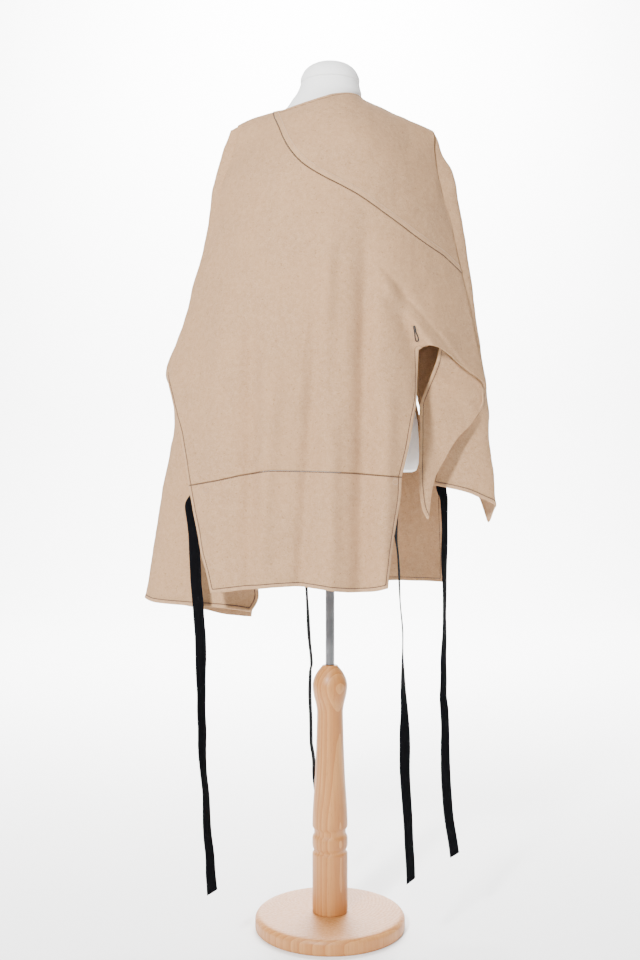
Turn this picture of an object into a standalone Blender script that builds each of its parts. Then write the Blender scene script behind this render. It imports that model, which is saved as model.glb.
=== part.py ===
# Wool cape on a limbless dress form with a turned wooden stand, at real size.
# Metres, +Z up. The origin is on the floor, on the stand's axis. The cape's back faces -Y and its
# wearer's right is +X. Each cloth piece is an outline drawn on one of the cape's two surfaces, the
# back and the front, which come from the tables of sections below and carry the folds.

import math

import bmesh
import bpy
import numpy as np

WALL = 0.0022
SEAM = 0.0003
SEAM_SHIFT = 0.0002
OBJECT_NAME = "wool_cape_on_dress_form"


def table(columns, *rows):
    """The rows as named columns."""
    return dict(zip(columns, np.array(rows, float).T))


# The shoulder and neck ridge, where front and back meet: its height across the cape.
RIDGE = table(
    ("x", "z"),
    (-0.260, 1.4635),
    (-0.188, 1.5150),
    (-0.150, 1.5338),
    (-0.108, 1.5460),
    (-0.050, 1.5777),
    (-0.010, 1.5885),
    (0.030, 1.5833),
    (0.068, 1.5662),
    (0.133, 1.5376),
    (0.194, 1.5130),
    (0.300, 1.4599),
)
RIDGE_ROLL = 0.13
TIP_MIDDLE, TIP_START, TIP_RUN = 0.011, 0.120, 0.065
TIP_GAP = 0.0018
RIDGE_GAP = 0.0003

# The back surface: how wide it would reach, where its outer folds lie, and how deep it stands out.
BACK_SECTIONS = table(
    ("z", "left", "right", "fold_y", "back_y"),
    (1.600, -0.176, 0.196, -0.015, -0.105),
    (1.500, -0.176, 0.197, -0.020, -0.118),
    (1.400, -0.203, 0.208, -0.028, -0.140),
    (1.300, -0.229, 0.233, -0.033, -0.158),
    (1.200, -0.260, 0.256, -0.036, -0.168),
    (1.050, -0.307, 0.288, -0.038, -0.176),
    (0.900, -0.330, 0.310, -0.045, -0.182),
    (0.650, -0.365, 0.330, -0.060, -0.190),
)
BACK_ROUNDNESS = 2.3

# The front surface: its outermost reach on both sides, the depth of the front, and the back edge of
# each side, which folds round behind.
FRONT_SECTIONS = table(
    ("z", "left", "right", "fold_y", "front_y", "left_edge", "left_edge_y", "right_edge", "right_edge_y"),
    (1.600, -0.190, 0.196, -0.004, 0.100, -0.1755, -0.015, 0.190, -0.015),
    (1.508, -0.189, 0.196, -0.004, 0.112, -0.1755, -0.018, 0.1925, -0.018),
    (1.476, -0.203, 0.212, -0.004, 0.122, -0.1775, -0.022, 0.1945, -0.022),
    (1.438, -0.213, 0.231, -0.005, 0.132, -0.190, -0.026, 0.200, -0.026),
    (1.398, -0.223, 0.240, -0.006, 0.140, -0.204, -0.028, 0.2085, -0.028),
    (1.343, -0.230, 0.2495, -0.008, 0.148, -0.2185, -0.031, 0.2235, -0.031),
    (1.282, -0.239, 0.2590, -0.012, 0.154, -0.2335, -0.034, 0.237, -0.034),
    (1.240, -0.251, 0.2650, -0.014, 0.157, -0.2495, -0.035, 0.246, -0.035),
    (1.172, -0.268, 0.2735, -0.018, 0.160, -0.2665, -0.036, 0.2615, -0.036),
    (1.105, -0.290, 0.2820, -0.018, 0.162, -0.2885, -0.037, 0.2755, -0.037),
    (1.046, -0.3095, 0.2925, -0.016, 0.163, -0.3076, -0.037, 0.2885, -0.037),
    (1.021, -0.302, 0.2960, -0.014, 0.164, -0.296, -0.042, 0.2925, -0.036),
    (0.990, -0.294, 0.2985, -0.012, 0.164, -0.278, -0.050, 0.2800, -0.040),
    (0.925, -0.2985, 0.3030, -0.008, 0.165, -0.245, -0.070, 0.2280, -0.040),
    (0.842, -0.3160, 0.3130, -0.004, 0.166, -0.208, -0.088, 0.1900, -0.036),
    (0.765, -0.3290, 0.3160, 0.000, 0.168, -0.178, -0.098, 0.1900, -0.030),
    (0.640, -0.3495, 0.3190, 0.003, 0.171, -0.130, -0.107, 0.1900, -0.030),
    (0.600, -0.3560, 0.3200, 0.004, 0.172, -0.150, -0.110, 0.1900, -0.030),
)
FRONT_FULLNESS = 0.86
TUCK = WALL + SEAM

# Soft folds: ridges stand out and troughs lie in, each along a line, with its half width.
FOLD_COLUMNS = ("x_top", "z_top", "x_low", "z_low", "width", "height")
BACK_FOLDS = table(
    FOLD_COLUMNS,
    (-0.0067, 1.290, -0.0330, 0.930, 0.015, 0.0060),
    (-0.0225, 1.165, -0.0590, 0.640, 0.017, -0.0100),
    (-0.0100, 0.920, -0.0067, 0.640, 0.019, 0.0090),
    (0.0546, 1.322, 0.0440, 0.640, 0.019, -0.0100),
    (0.0950, 0.990, 0.0830, 0.640, 0.020, 0.0080),
    (-0.1500, 1.112, -0.1500, 0.850, 0.017, -0.0060),
    (-0.1030, 1.060, -0.1420, 0.640, 0.024, 0.0080),
    (-0.2100, 1.180, -0.2120, 0.960, 0.022, 0.0050),
    (0.1160, 1.190, 0.1405, 1.112, 0.021, -0.0090),
    (0.0830, 1.217, 0.1405, 1.143, 0.013, 0.0050),
)
FOLD_START = 0.35
FRONT_FOLDS = table(
    FOLD_COLUMNS,
    (-0.150, 1.400, -0.190, 0.600, 0.024, 0.0100),
    (-0.095, 1.250, -0.110, 0.600, 0.022, -0.0090),
    (-0.040, 1.150, -0.060, 0.600, 0.018, 0.0050),
    (0.140, 1.380, 0.150, 0.620, 0.024, 0.0100),
    (0.090, 1.240, 0.085, 0.620, 0.020, -0.0080),
    (0.200, 1.200, 0.190, 0.660, 0.018, 0.0060),
)

# Outlines on the back surface, as x and z.
NECKLINE = ((-0.1060, 1.5420), (-0.0955, 1.5388), (-0.0858, 1.5372), (-0.0707, 1.5376), (-0.0558, 1.5403),
            (-0.0410, 1.5445), (-0.0117, 1.5537), (0.0031, 1.5598), (0.0179, 1.5640), (0.0329, 1.5668),
            (0.0482, 1.5685), (0.0600, 1.5700))
NECK_LEFT, NECK_RIGHT = -0.1083, 0.0600
TIP_LEFT, TIP_RIGHT = -0.1752, 0.1955
DIAGONAL_SEAM = ((-0.1083, 1.5459), (-0.1055, 1.5280), (-0.0958, 1.4995), (-0.0850, 1.4679),
                 (-0.0728, 1.4433), (-0.0531, 1.4179), (-0.0332, 1.4020), (-0.0105, 1.3877),
                 (0.0200, 1.3715), (0.0511, 1.3542), (0.0734, 1.3397), (0.0977, 1.3233),
                 (0.1260, 1.3054), (0.1538, 1.2879), (0.1810, 1.2735), (0.2089, 1.2607),
                 (0.2273, 1.2480), (0.2461, 1.2350))
LEFT_CREASE = ((-0.1752, 1.5213), (-0.1759, 1.4993), (-0.1811, 1.4672), (-0.1974, 1.4180),
               (-0.2102, 1.3776), (-0.2253, 1.3091), (-0.2367, 1.2755), (-0.2500, 1.2341),
               (-0.2660, 1.1657), (-0.2860, 1.1060), (-0.3062, 1.0440))
RIGHT_CREASE_HIGH = ((0.1955, 1.5124), (0.1965, 1.4800), (0.1990, 1.4467), (0.2098, 1.3909),
                     (0.2263, 1.3302), (0.2361, 1.2808), (0.2461, 1.2350))
RIGHT_CREASE_LOW = ((0.2461, 1.2350), (0.2592, 1.1814), (0.2718, 1.1137), (0.2830, 1.0596),
                    (0.2925, 1.0198))
NOTCH = (0.1582, 1.0820)
WING_TO_NOTCH = ((-0.3062, 1.0440), NOTCH)
LOBE_EDGE = (NOTCH, (0.1663, 1.0880), (0.1764, 1.0893), (0.1897, 1.0883), (0.2149, 1.0765),
             (0.2326, 1.0623), (0.2514, 1.0498), (0.2774, 1.0352), (0.2925, 1.0198))
LEFT_SIDE_HIGH = ((-0.3062, 1.0440), (-0.2895, 0.9815), (-0.2740, 0.9218), (-0.2663, 0.8851),
                  (-0.2577, 0.8392))
LEFT_SIDE_LOW = ((-0.2577, 0.8392), (-0.2527, 0.8130), (-0.2469, 0.7862), (-0.2403, 0.7551),
                 (-0.2305, 0.7109), (-0.2208, 0.6760), (-0.2135, 0.6490))
RIGHT_SIDE_HIGH = (NOTCH, (0.1564, 1.0052), (0.1463, 0.9471), (0.1390, 0.9050), (0.1335, 0.8830),
                   (0.1262, 0.8543))
RIGHT_SIDE_LOW = ((0.1262, 0.8543), (0.1245, 0.8250), (0.1098, 0.7328), (0.1012, 0.6600))
BAND_SEAM = ((-0.2577, 0.8392), (-0.2017, 0.8485), (-0.1493, 0.8592), (-0.0975, 0.8654),
             (-0.0592, 0.8647), (0.0382, 0.8612), (0.0887, 0.8570), (0.1262, 0.8543))
BACK_HEM = ((-0.2135, 0.6490), (-0.1310, 0.6586), (-0.0626, 0.6630), (0.0000, 0.6565),
            (0.0501, 0.6517), (0.1012, 0.6600))

# The front neckline and hems, as x and z; the left hem steps down beside the opening, the right one up
# at the sleeve.
FRONT_NECKLINE = table(("x", "z"), (-0.108, 1.5460), (-0.092, 1.5290), (-0.065, 1.5140), (-0.030, 1.5050),
                       (0.005, 1.5050), (0.033, 1.5160), (0.052, 1.5360), (0.060, 1.5560),
                       (0.0635, 1.5683))
LEFT_FRONT_HEM = table(("across", "z"), (0.0, 0.646), (0.138, 0.646), (0.149, 0.5704), (0.196, 0.5735),
                       (0.271, 0.588), (0.314, 0.595), (0.373, 0.603), (0.457, 0.613),
                       (0.572, 0.6245), (0.677, 0.6192), (0.816, 0.6175), (0.896, 0.6163),
                       (0.954, 0.6141), (1.0, 0.6100))
RIGHT_FRONT_HEM = table(("across", "z"), (0.0, 0.644), (0.335, 0.644), (0.345, 0.838), (0.45, 0.838),
                        (0.485, 0.830), (0.532, 0.810), (0.579, 0.778), (0.600, 0.767),
                        (0.626, 0.775), (0.66, 0.790), (0.70, 0.799), (0.80, 0.812), (0.88, 0.826),
                        (1.0, 0.840))
FRONT_OPENING = 0.001

# Where the columns of each front lie: the left one has a narrow column at its hem's step, and the right
# one has one that is its slit.
LEFT_SPREAD = table(("column", "across"), (0, FRONT_OPENING), (3, 0.138), (4, 0.149), (22, 1.0))
RIGHT_SPREAD = table(("column", "across"), (0, FRONT_OPENING), (7, 0.335), (8, 0.345), (22, 1.0))
SLIT_COLUMN = 7
SLIT_TOP = 1.080
ABOVE_SLIT_ROWS, BELOW_SLIT_ROWS = 12, 6

# The flap in the right side opening: its two long edges, top to bottom.
FLAP_TOP = ((0.2001, 1.1000), (0.2450, 1.0640), (0.2800, 1.0480))
FLAP_LEFT = ((0.2001, 1.1000), (0.1889, 1.0530), (0.1740, 1.0160), (0.1640, 0.9850), (0.1630, 0.9230),
             (0.1611, 0.8490), (0.1667, 0.8000), (0.1760, 0.7780))
FLAP_RIGHT = ((0.2800, 1.0480), (0.2860, 0.9990), (0.2665, 0.9580), (0.2350, 0.9251), (0.2105, 0.8854),
              (0.1895, 0.8422), (0.1800, 0.7780))
FLAP_BOTTOM = ((0.1760, 0.7780), (0.1800, 0.7780))
FLAP_DEPTH = 0.5
FLAP_FOLD_Y = -0.020
FLAP_TURN = 0.3
FLAP_COLUMNS, FLAP_ROWS = 7, 14

# Form: half widths and depths of its level sections.
FORM_SECTIONS = table(
    ("z", "left", "right", "front", "back"),
    (1.6000, 0.0555, 0.0555, 0.0550, 0.0550),
    (1.5900, 0.0590, 0.0575, 0.0550, 0.0550),
    (1.5800, 0.0640, 0.0600, 0.0545, 0.0545),
    (1.5700, 0.0715, 0.0570, 0.0520, 0.0530),
    (1.5620, 0.0770, 0.0560, 0.0500, 0.0520),
    (1.5540, 0.0830, 0.0635, 0.0500, 0.0520),
    (1.5470, 0.0920, 0.0850, 0.0480, 0.0500),
    (1.5390, 0.1080, 0.1080, 0.0450, 0.0480),
    (1.5208, 0.1450, 0.1450, 0.0450, 0.0480),
    (1.5000, 0.1600, 0.1600, 0.0530, 0.0540),
    (1.4700, 0.1650, 0.1650, 0.0680, 0.0680),
    (1.4200, 0.1640, 0.1640, 0.0940, 0.0860),
    (1.3000, 0.1640, 0.1640, 0.1240, 0.0980),
    (1.2000, 0.1380, 0.1380, 0.1020, 0.0880),
    (1.1300, 0.1260, 0.1260, 0.0920, 0.0820),
    (1.0500, 0.1400, 0.1400, 0.1000, 0.0960),
    (0.9500, 0.1670, 0.1670, 0.1080, 0.1120),
    (0.8900, 0.1690, 0.1690, 0.1080, 0.1140),
    (0.8680, 0.1640, 0.1640, 0.1040, 0.1100),
    (0.8640, 0.1560, 0.1560, 0.0980, 0.1040),
)
FORM_SIDES = 28

# Turned pieces: radius and height, top to bottom.
CAP_RADIUS = 0.0560
CAP_PROFILE = ((0.0, 1.6400), (0.0200, 1.6385), (0.0350, 1.6340), (0.0460, 1.6265), (0.0528, 1.6170),
               (CAP_RADIUS, 1.6070), (CAP_RADIUS, 1.6020), (0.0545, 1.6003), (0.0, 1.6003))
ROD_RADIUS = 0.0085
COLUMN_TOP = 0.4975
COLUMN_RADIUS = 0.0335
BASE_TOP = 0.0300
BASE_RADIUS = 0.1420
COLUMN_PROFILE = ((0.0, COLUMN_TOP), (0.0140, COLUMN_TOP), (0.0158, 0.4950), (0.0245, 0.4840),
                  (0.0310, 0.4700), (0.0330, 0.4590), (0.0315, 0.4440), (0.0270, 0.4250),
                  (0.0247, 0.4100), (0.0252, 0.3800), (0.0285, 0.2900), (COLUMN_RADIUS, 0.1960),
                  (0.0325, 0.1900), (0.0300, 0.1860), (0.0300, 0.1790), (0.0325, 0.1745),
                  (0.0336, 0.1660), (0.0336, 0.1590), (0.0325, 0.1520), (0.0305, 0.1480),
                  (0.0305, 0.1455), (0.0330, 0.1420), (COLUMN_RADIUS, 0.1380),
                  (COLUMN_RADIUS, BASE_TOP + SEAM), (0.0, BASE_TOP + SEAM))
BASE_PROFILE = ((0.0, BASE_TOP), (0.1200, BASE_TOP), (0.1350, 0.0285), (0.1400, 0.0240),
                (BASE_RADIUS, 0.0170), (BASE_RADIUS, 0.0050), (0.1400, 0.0), (0.0, 0.0))
TURNED_STEPS = 32

# Ribbons: the middle of the ribbon and how far its flat face is turned from the camera side, in degrees.
RIBBON_WIDTH = 0.020
RIBBON_WALL = 0.0010
RIBBON_COLUMNS = ("z", "x", "y", "turn")
RIBBONS = {
    "ribbon_back_left": table(
        RIBBON_COLUMNS,
        (0.8380, -0.2220, 0.0, 0), (0.8240, -0.2430, -0.1120, -22), (0.8040, -0.2530, -0.1080, -10),
        (0.7771, -0.2490, -0.1080, -4), (0.7412, -0.2462, -0.1100, 0), (0.7053, -0.2444, -0.1130, 0),
        (0.6586, -0.2408, -0.1160, 0), (0.6014, -0.2364, -0.1220, 4), (0.5612, -0.2330, -0.1260, 8),
        (0.5028, -0.2314, -0.1300, 29), (0.4504, -0.2308, -0.1310, 45), (0.3753, -0.2294, -0.1320, 52),
        (0.2993, -0.2246, -0.1320, 58), (0.2412, -0.2210, -0.1310, 50), (0.1831, -0.2169, -0.1300, 45),
        (0.1250, -0.2124, -0.1290, 26), (0.1107, -0.2118, -0.1290, 25)),
    "ribbon_back_right": table(
        RIBBON_COLUMNS,
        (0.8440, 0.1100, 0.0, 0), (0.8200, 0.1110, -0.1480, 30), (0.7743, 0.1150, -0.1400, 55),
        (0.7156, 0.1200, -0.1360, 77), (0.6480, 0.1230, -0.1360, 80), (0.5786, 0.1280, -0.1380, 80),
        (0.4932, 0.1290, -0.1400, 66), (0.4327, 0.1310, -0.1400, 36), (0.3936, 0.1320, -0.1400, 14),
        (0.3135, 0.1330, -0.1400, 25), (0.2335, 0.1380, -0.1390, 28), (0.1339, 0.1430, -0.1380, 36)),
    "ribbon_sleeve": table(
        RIBBON_COLUMNS,
        (0.8560, 0.2060, 0.0, 0), (0.8360, 0.2090, -0.0250, 10), (0.8100, 0.2150, -0.0180, 40),
        (0.7500, 0.2160, -0.0150, 54), (0.6625, 0.2160, -0.0150, 56), (0.5400, 0.2150, -0.0170, 56),
        (0.4500, 0.2130, -0.0180, 50), (0.4125, 0.2160, -0.0180, 33), (0.2875, 0.2180, -0.0160, 21),
        (0.2036, 0.2260, -0.0140, 21), (0.1398, 0.2355, -0.0120, 24)),
    "ribbon_front": table(
        RIBBON_COLUMNS,
        (0.8500, -0.0200, 0.0, 0), (0.8200, -0.0600, 0.1790, 0), (0.7200, -0.0540, 0.1880, 20),
        (0.6600, -0.0490, 0.1880, 55), (0.6209, -0.0467, 0.1860, 75), (0.5571, -0.0437, 0.1820, 76),
        (0.4708, -0.0365, 0.1780, 72), (0.4564, -0.0392, 0.1770, 74), (0.3105, -0.0365, 0.1730, 74),
        (0.2838, -0.0324, 0.1720, 72), (0.2448, -0.0293, 0.1720, 60), (0.1811, -0.0211, 0.1720, 48),
        (0.1500, -0.0180, 0.1720, 44)),
}
RIBBON_ROWS = 26

# The small loop above the notch: its two ends and its cord.
LOOP_TOP = (0.1491, 1.1236)
LOOP_LOW = (0.1553, 1.0974)
LOOP_HALF_WIDTH = 0.0014
LOOP_CORD = 0.0009

MATERIALS = {
    "wool": ((0.60, 0.50, 0.40), 0.95, 0.0),
    "form_cloth": ((0.86, 0.85, 0.82), 0.90, 0.0),
    "rod_metal": ((0.42, 0.42, 0.43), 0.35, 1.0),
    "turned_wood": ((0.70, 0.51, 0.33), 0.45, 0.0),
    "black_ribbon": ((0.015, 0.015, 0.017), 0.40, 0.0),
    "dark_cord": ((0.10, 0.06, 0.04), 0.80, 0.0),
}


def read(sections, name, at, by="z"):
    """One named column at any place, on a monotone cubic through the table's rows."""
    order = np.argsort(sections[by])
    knots = sections[by][order]
    values = sections[name][order]
    steps = np.diff(knots)
    slopes = np.diff(values) / steps
    same_way = slopes[:-1] * slopes[1:] > 0
    inner = np.zeros(len(knots) - 2)
    inner[same_way] = 2 * slopes[:-1][same_way] * slopes[1:][same_way] / (slopes[:-1] + slopes[1:])[same_way]
    tangents = np.concatenate([slopes[:1], inner, slopes[-1:]])
    at = np.clip(at, knots[0], knots[-1])
    row = np.clip(np.searchsorted(knots, at) - 1, 0, len(steps) - 1)
    s = (at - knots[row]) / steps[row]
    return (values[row] * (1 + 2 * s) * (1 - s) ** 2 + values[row + 1] * s * s * (3 - 2 * s)
            + steps[row] * (tangents[row] * s * (1 - s) ** 2 - tangents[row + 1] * s * s * (1 - s)))


def along(points, share):
    """Points at the given shares of a line's length."""
    points = np.array(points, float)
    steps = np.hypot(*np.diff(points, axis=0).T)
    at = np.concatenate([[0.0], np.cumsum(steps)]) / steps.sum()
    return np.stack([np.interp(share, at, points[:, i]) for i in range(2)], axis=-1)


def moved_aside(points, distance):
    """A line moved sideways, to the left of its direction when distance is positive."""
    points = np.array(points, float)
    ways = np.gradient(points, axis=0)
    ways /= np.hypot(ways[:, 0], ways[:, 1])[:, None]
    return points + distance * np.stack([-ways[:, 1], ways[:, 0]], axis=-1)


def ridge_share(x, z):
    """0 on the shoulder ridge, growing to 1 where the cloth hangs free, as a quarter round."""
    below = np.clip((read(RIDGE, "z", x, "x") - z) / RIDGE_ROLL, 0.0, 1.0)
    return np.sqrt(1.0 - (1.0 - below) ** 2)


def ridge_gap(x, z):
    """How far front and back each stand off the ridge, more at the shoulder tips, where they close up."""
    tip = np.clip((np.abs(x - TIP_MIDDLE) - TIP_START) / TIP_RUN, 0, 1)
    low = np.clip((read(RIDGE, "z", x, "x") - z) / RIDGE_ROLL, 0, 1)
    return RIDGE_GAP + TIP_GAP * tip * (1 - low) ** 4


def fold_height(folds, x, z):
    """The sum of the folds: each is a bell across its line that fades in from its upper end."""
    total = np.zeros(np.broadcast(x, z).shape)
    for x0, z0, x1, z1, width, height in zip(*(folds[name] for name in FOLD_COLUMNS)):
        length = math.hypot(x1 - x0, z1 - z0)
        way = ((x1 - x0) / length, (z1 - z0) / length)
        on = ((x - x0) * way[0] + (z - z0) * way[1]) / length
        off = (x - x0) * way[1] - (z - z0) * way[0]
        start = np.clip(on / FOLD_START, 0, 1)
        total = total + height * start ** 2 * (3 - 2 * start) * np.exp(-((off / width) ** 2))
    return total


def back_y(x, z):
    """Depth of the back surface, fullest between its outer folds."""
    left = read(BACK_SECTIONS, "left", z)
    right = read(BACK_SECTIONS, "right", z)
    middle = (left + right) / 2
    reach = np.clip(np.abs((x - middle) / ((right - left) / 2)), 0, 1)
    fold = read(BACK_SECTIONS, "fold_y", z)
    deep = read(BACK_SECTIONS, "back_y", z)
    y = fold + (deep - fold) * (1.0 - reach ** BACK_ROUNDNESS)
    return ridge_share(x, z) * (y - fold_height(BACK_FOLDS, x, z)) - ridge_gap(x, z)


def off_back(x, z, distance):
    """Depth of a point that lies this far inside the back surface, or outside when negative."""
    step = 0.002
    across = (back_y(x + step, z) - back_y(x - step, z)) / (2 * step)
    down = (back_y(x, z + step) - back_y(x, z - step)) / (2 * step)
    return back_y(x, z) + distance * np.sqrt(1 + across ** 2 + down ** 2)


def front_point(side, across, z):
    """Front surface: across runs 0 to 1 from the middle, round the side fold, to the back edge."""
    reach = read(FRONT_SECTIONS, side, z)
    edge = read(FRONT_SECTIONS, side + "_edge", z)
    edge_y = read(FRONT_SECTIONS, side + "_edge_y", z)
    fold = read(FRONT_SECTIONS, "fold_y", z)
    deep = read(FRONT_SECTIONS, "front_y", z)
    front_run = np.hypot(reach, deep - fold)
    share = front_run / (front_run + 1.2 * np.hypot(reach - edge, fold - edge_y))
    turn = np.clip(across / share, 0, 1) * math.pi / 2
    behind = np.clip((across - share) / (1 - share), 0, 1)
    x = np.where(across < share, reach * np.sin(turn) ** FRONT_FULLNESS,
                 reach + (edge - reach) * behind ** 2)
    y = np.where(across < share, fold + (deep - fold) * np.clip(np.cos(turn), 0, 1) ** FRONT_FULLNESS,
                 fold + (edge_y - fold) * (2 * behind - behind ** 2))
    y = ridge_share(x, z) * (y + (across < share) * fold_height(FRONT_FOLDS, x, z))
    return x, y + TUCK * behind + ridge_gap(x, z)


def front_top(x):
    """Height of the front's upper edge: the neckline between the shoulders, then the shoulder line."""
    neck = read(FRONT_NECKLINE, "z", x, "x")
    shoulder = read(RIDGE, "z", x, "x")
    return np.where((x > FRONT_NECKLINE["x"][0]) & (x < FRONT_NECKLINE["x"][-1]), neck, shoulder)


def even_line(points, columns, aside=0.0):
    """One point for each column of a line, all moved sideways together, so that two pieces share them."""
    return moved_aside(along(points, np.arange(columns + 1) / columns), aside)


def patch(top, bottom, left, right, column, down):
    """A four-sided outline filled evenly: top and bottom hold a point for each column, and the sides
    bend the straight lines between them."""
    across = (column / (len(top) - 1))[:, None]
    left_bend = along(left, down) - along((left[0], left[-1]), down)
    right_bend = along(right, down) - along((right[0], right[-1]), down)
    down = down[:, None]
    return (1 - down) * top[column] + down * bottom[column] + (1 - across) * left_bend + across * right_bend


def row_share(row, rows, seam_first=False, seam_last=False, crowded=1.0):
    """Where the rows lie, closer below the ridge when crowded is over 1. A narrow row follows the ridge
    and each seam, so that the walls on both sides there stand the same way."""
    first = RIDGE_SHARE if crowded > 1 else EDGE_SHARE * seam_first
    last = EDGE_SHARE * seam_last
    narrow = int(first > 0)
    inner = rows - narrow - seam_last
    even = first + (1 - first - last) * np.clip((row - narrow) / inner, 0, 1) ** crowded
    return np.where(row <= 0, 0.0, np.where(row >= rows, 1.0, even))


def shoulder_line(start, end):
    """The shoulder's line between two places across the cape."""
    x = np.linspace(start, end, 9)
    return np.stack([x, read(RIDGE, "z", x, "x")], axis=1)


def new_object(name, mesh, material, collection):
    obj = bpy.data.objects.new(name, mesh)
    collection.objects.link(obj)
    obj.data.materials.append(material)
    return obj


def grid_sheet(name, columns, rows, place, material, collection, outward, wall=WALL, skip=None):
    """A grid moved onto a surface, with its wall built inward. Skip leaves out faces by column and row."""
    bm = bmesh.new()
    bmesh.ops.create_grid(bm, x_segments=columns, y_segments=rows, size=0.5)
    if skip:
        left_out = []
        for face in bm.faces:
            middle = face.calc_center_median()
            if skip(int((middle.x + 0.5) * columns), int((0.5 - middle.y) * rows)):
                left_out.append(face)
        bmesh.ops.delete(bm, geom=left_out, context="FACES")
    grid = np.array([vertex.co[:2] for vertex in bm.verts])
    column = np.rint((grid[:, 0] + 0.5) * columns).astype(int)
    row = np.rint((0.5 - grid[:, 1]) * rows).astype(int)
    points = place(column, row)
    for vertex, point in zip(bm.verts, points):
        vertex.co = point
    bm.normal_update()
    facing = sum(face.normal.dot(outward) * face.calc_area() for face in bm.faces)
    if facing < 0:
        bmesh.ops.reverse_faces(bm, faces=bm.faces[:])
    mesh = bpy.data.meshes.new(name)
    bm.to_mesh(mesh)
    bm.free()
    mesh.shade_smooth()
    obj = new_object(name, mesh, material, collection)
    solidify = obj.modifiers.new("wall", "SOLIDIFY")
    solidify.thickness = wall
    solidify.offset = -1.0
    solidify.use_even_offset = True
    solidify.use_quality_normals = True
    return obj


def on_back(flat):
    """Lifts flat points onto the back surface."""
    x, z = flat[:, 0], flat[:, 1]
    return np.stack([x, back_y(x, z), z], axis=1)


# Column and row counts that neighbouring pieces share, so that their seams follow each other.
SHOULDER_COLUMNS = 5
SEAM_COLUMNS = 28
BODY_COLUMNS = SHOULDER_COLUMNS + SEAM_COLUMNS
NOTCH_COLUMN = 25
UPPER_ROWS = 15
LOWER_ROWS = 7
YOKE_ROWS = 10
BAND_ROWS = 5
EDGE_SHARE = 0.006
RIDGE_SHARE = 0.0006
CROWDED = 1.6


def make_back_body(material, collection):
    """Wing, back and lobe. The upper rows end at the wing tip, the notch and the lobe's edge, and the
    lower rows go on from there as far as the notch."""
    shoulder = even_line(shoulder_line(TIP_LEFT, NECK_LEFT), SHOULDER_COLUMNS)
    seam = even_line(DIAGONAL_SEAM, SEAM_COLUMNS, -SEAM_SHIFT)
    top = np.concatenate([shoulder[:-1], seam])
    to_notch = even_line(WING_TO_NOTCH, NOTCH_COLUMN)
    lobe = even_line(LOBE_EDGE, BODY_COLUMNS - NOTCH_COLUMN)
    middle = np.concatenate([to_notch[:-1], lobe])
    bottom = even_line(BAND_SEAM, NOTCH_COLUMN, SEAM_SHIFT)

    def place(column, row):
        upper = patch(top, middle, LEFT_CREASE, RIGHT_CREASE_LOW, column,
                      row_share(row, UPPER_ROWS, crowded=CROWDED))
        lower = patch(to_notch, bottom, LEFT_SIDE_HIGH, RIGHT_SIDE_HIGH, np.minimum(column, NOTCH_COLUMN),
                      row_share(row - UPPER_ROWS, LOWER_ROWS, seam_last=True))
        return on_back(np.where((row <= UPPER_ROWS)[:, None], upper, lower))

    def skip(column, row):
        return row >= UPPER_ROWS and column >= NOTCH_COLUMN

    return grid_sheet("back_body", BODY_COLUMNS, UPPER_ROWS + LOWER_ROWS, place, material, collection,
                      (0, -1, 0), skip=skip)


def make_yoke(material, collection):
    top = even_line(np.concatenate([NECKLINE[:-1], shoulder_line(NECK_RIGHT, TIP_RIGHT)]), SEAM_COLUMNS)
    seam = even_line(DIAGONAL_SEAM, SEAM_COLUMNS, SEAM_SHIFT)
    seam[0] = NECKLINE[0][0], NECKLINE[0][1] - 0.006

    def place(column, row):
        down = row_share(row, YOKE_ROWS, seam_last=True, crowded=CROWDED)
        return on_back(patch(top, seam, (NECKLINE[0], seam[0]), RIGHT_CREASE_HIGH, column, down))

    return grid_sheet("yoke", SEAM_COLUMNS, YOKE_ROWS, place, material, collection, (0, -1, 0))


def make_back_band(material, collection):
    seam = even_line(BAND_SEAM, NOTCH_COLUMN, -SEAM_SHIFT)
    hem = even_line(BACK_HEM, NOTCH_COLUMN)

    def place(column, row):
        down = row_share(row, BAND_ROWS, seam_first=True)
        return on_back(patch(seam, hem, LEFT_SIDE_LOW, RIGHT_SIDE_LOW, column, down))

    return grid_sheet("back_band", NOTCH_COLUMN, BAND_ROWS, place, material, collection, (0, -1, 0))


def make_front(side, hem, spread, material, collection, skip=None):
    """One front, from the opening in the middle round the side to its back edge."""
    columns, rows = int(spread["column"][-1]), ABOVE_SLIT_ROWS + BELOW_SLIT_ROWS

    def place(column, row):
        across = np.interp(column, spread["column"], spread["across"])
        bottom = read(hem, "z", across, "across")
        x, _ = front_point(side, across, np.full(len(across), 1.45))
        for _ in range(6):
            z = front_top(x)
            x, _ = front_point(side, across, z)
        top = front_top(x)
        above = top + (SLIT_TOP - top) * row_share(row, ABOVE_SLIT_ROWS, crowded=CROWDED)
        below = SLIT_TOP + (bottom - SLIT_TOP) * (row - ABOVE_SLIT_ROWS) / BELOW_SLIT_ROWS
        z = np.where(row <= ABOVE_SLIT_ROWS, above, below)
        x, y = front_point(side, across, z)
        return np.stack([x, y, z], axis=1)

    return grid_sheet("front_" + side, columns, rows, place, material, collection, (0, 1, 0), skip=skip)


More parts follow.
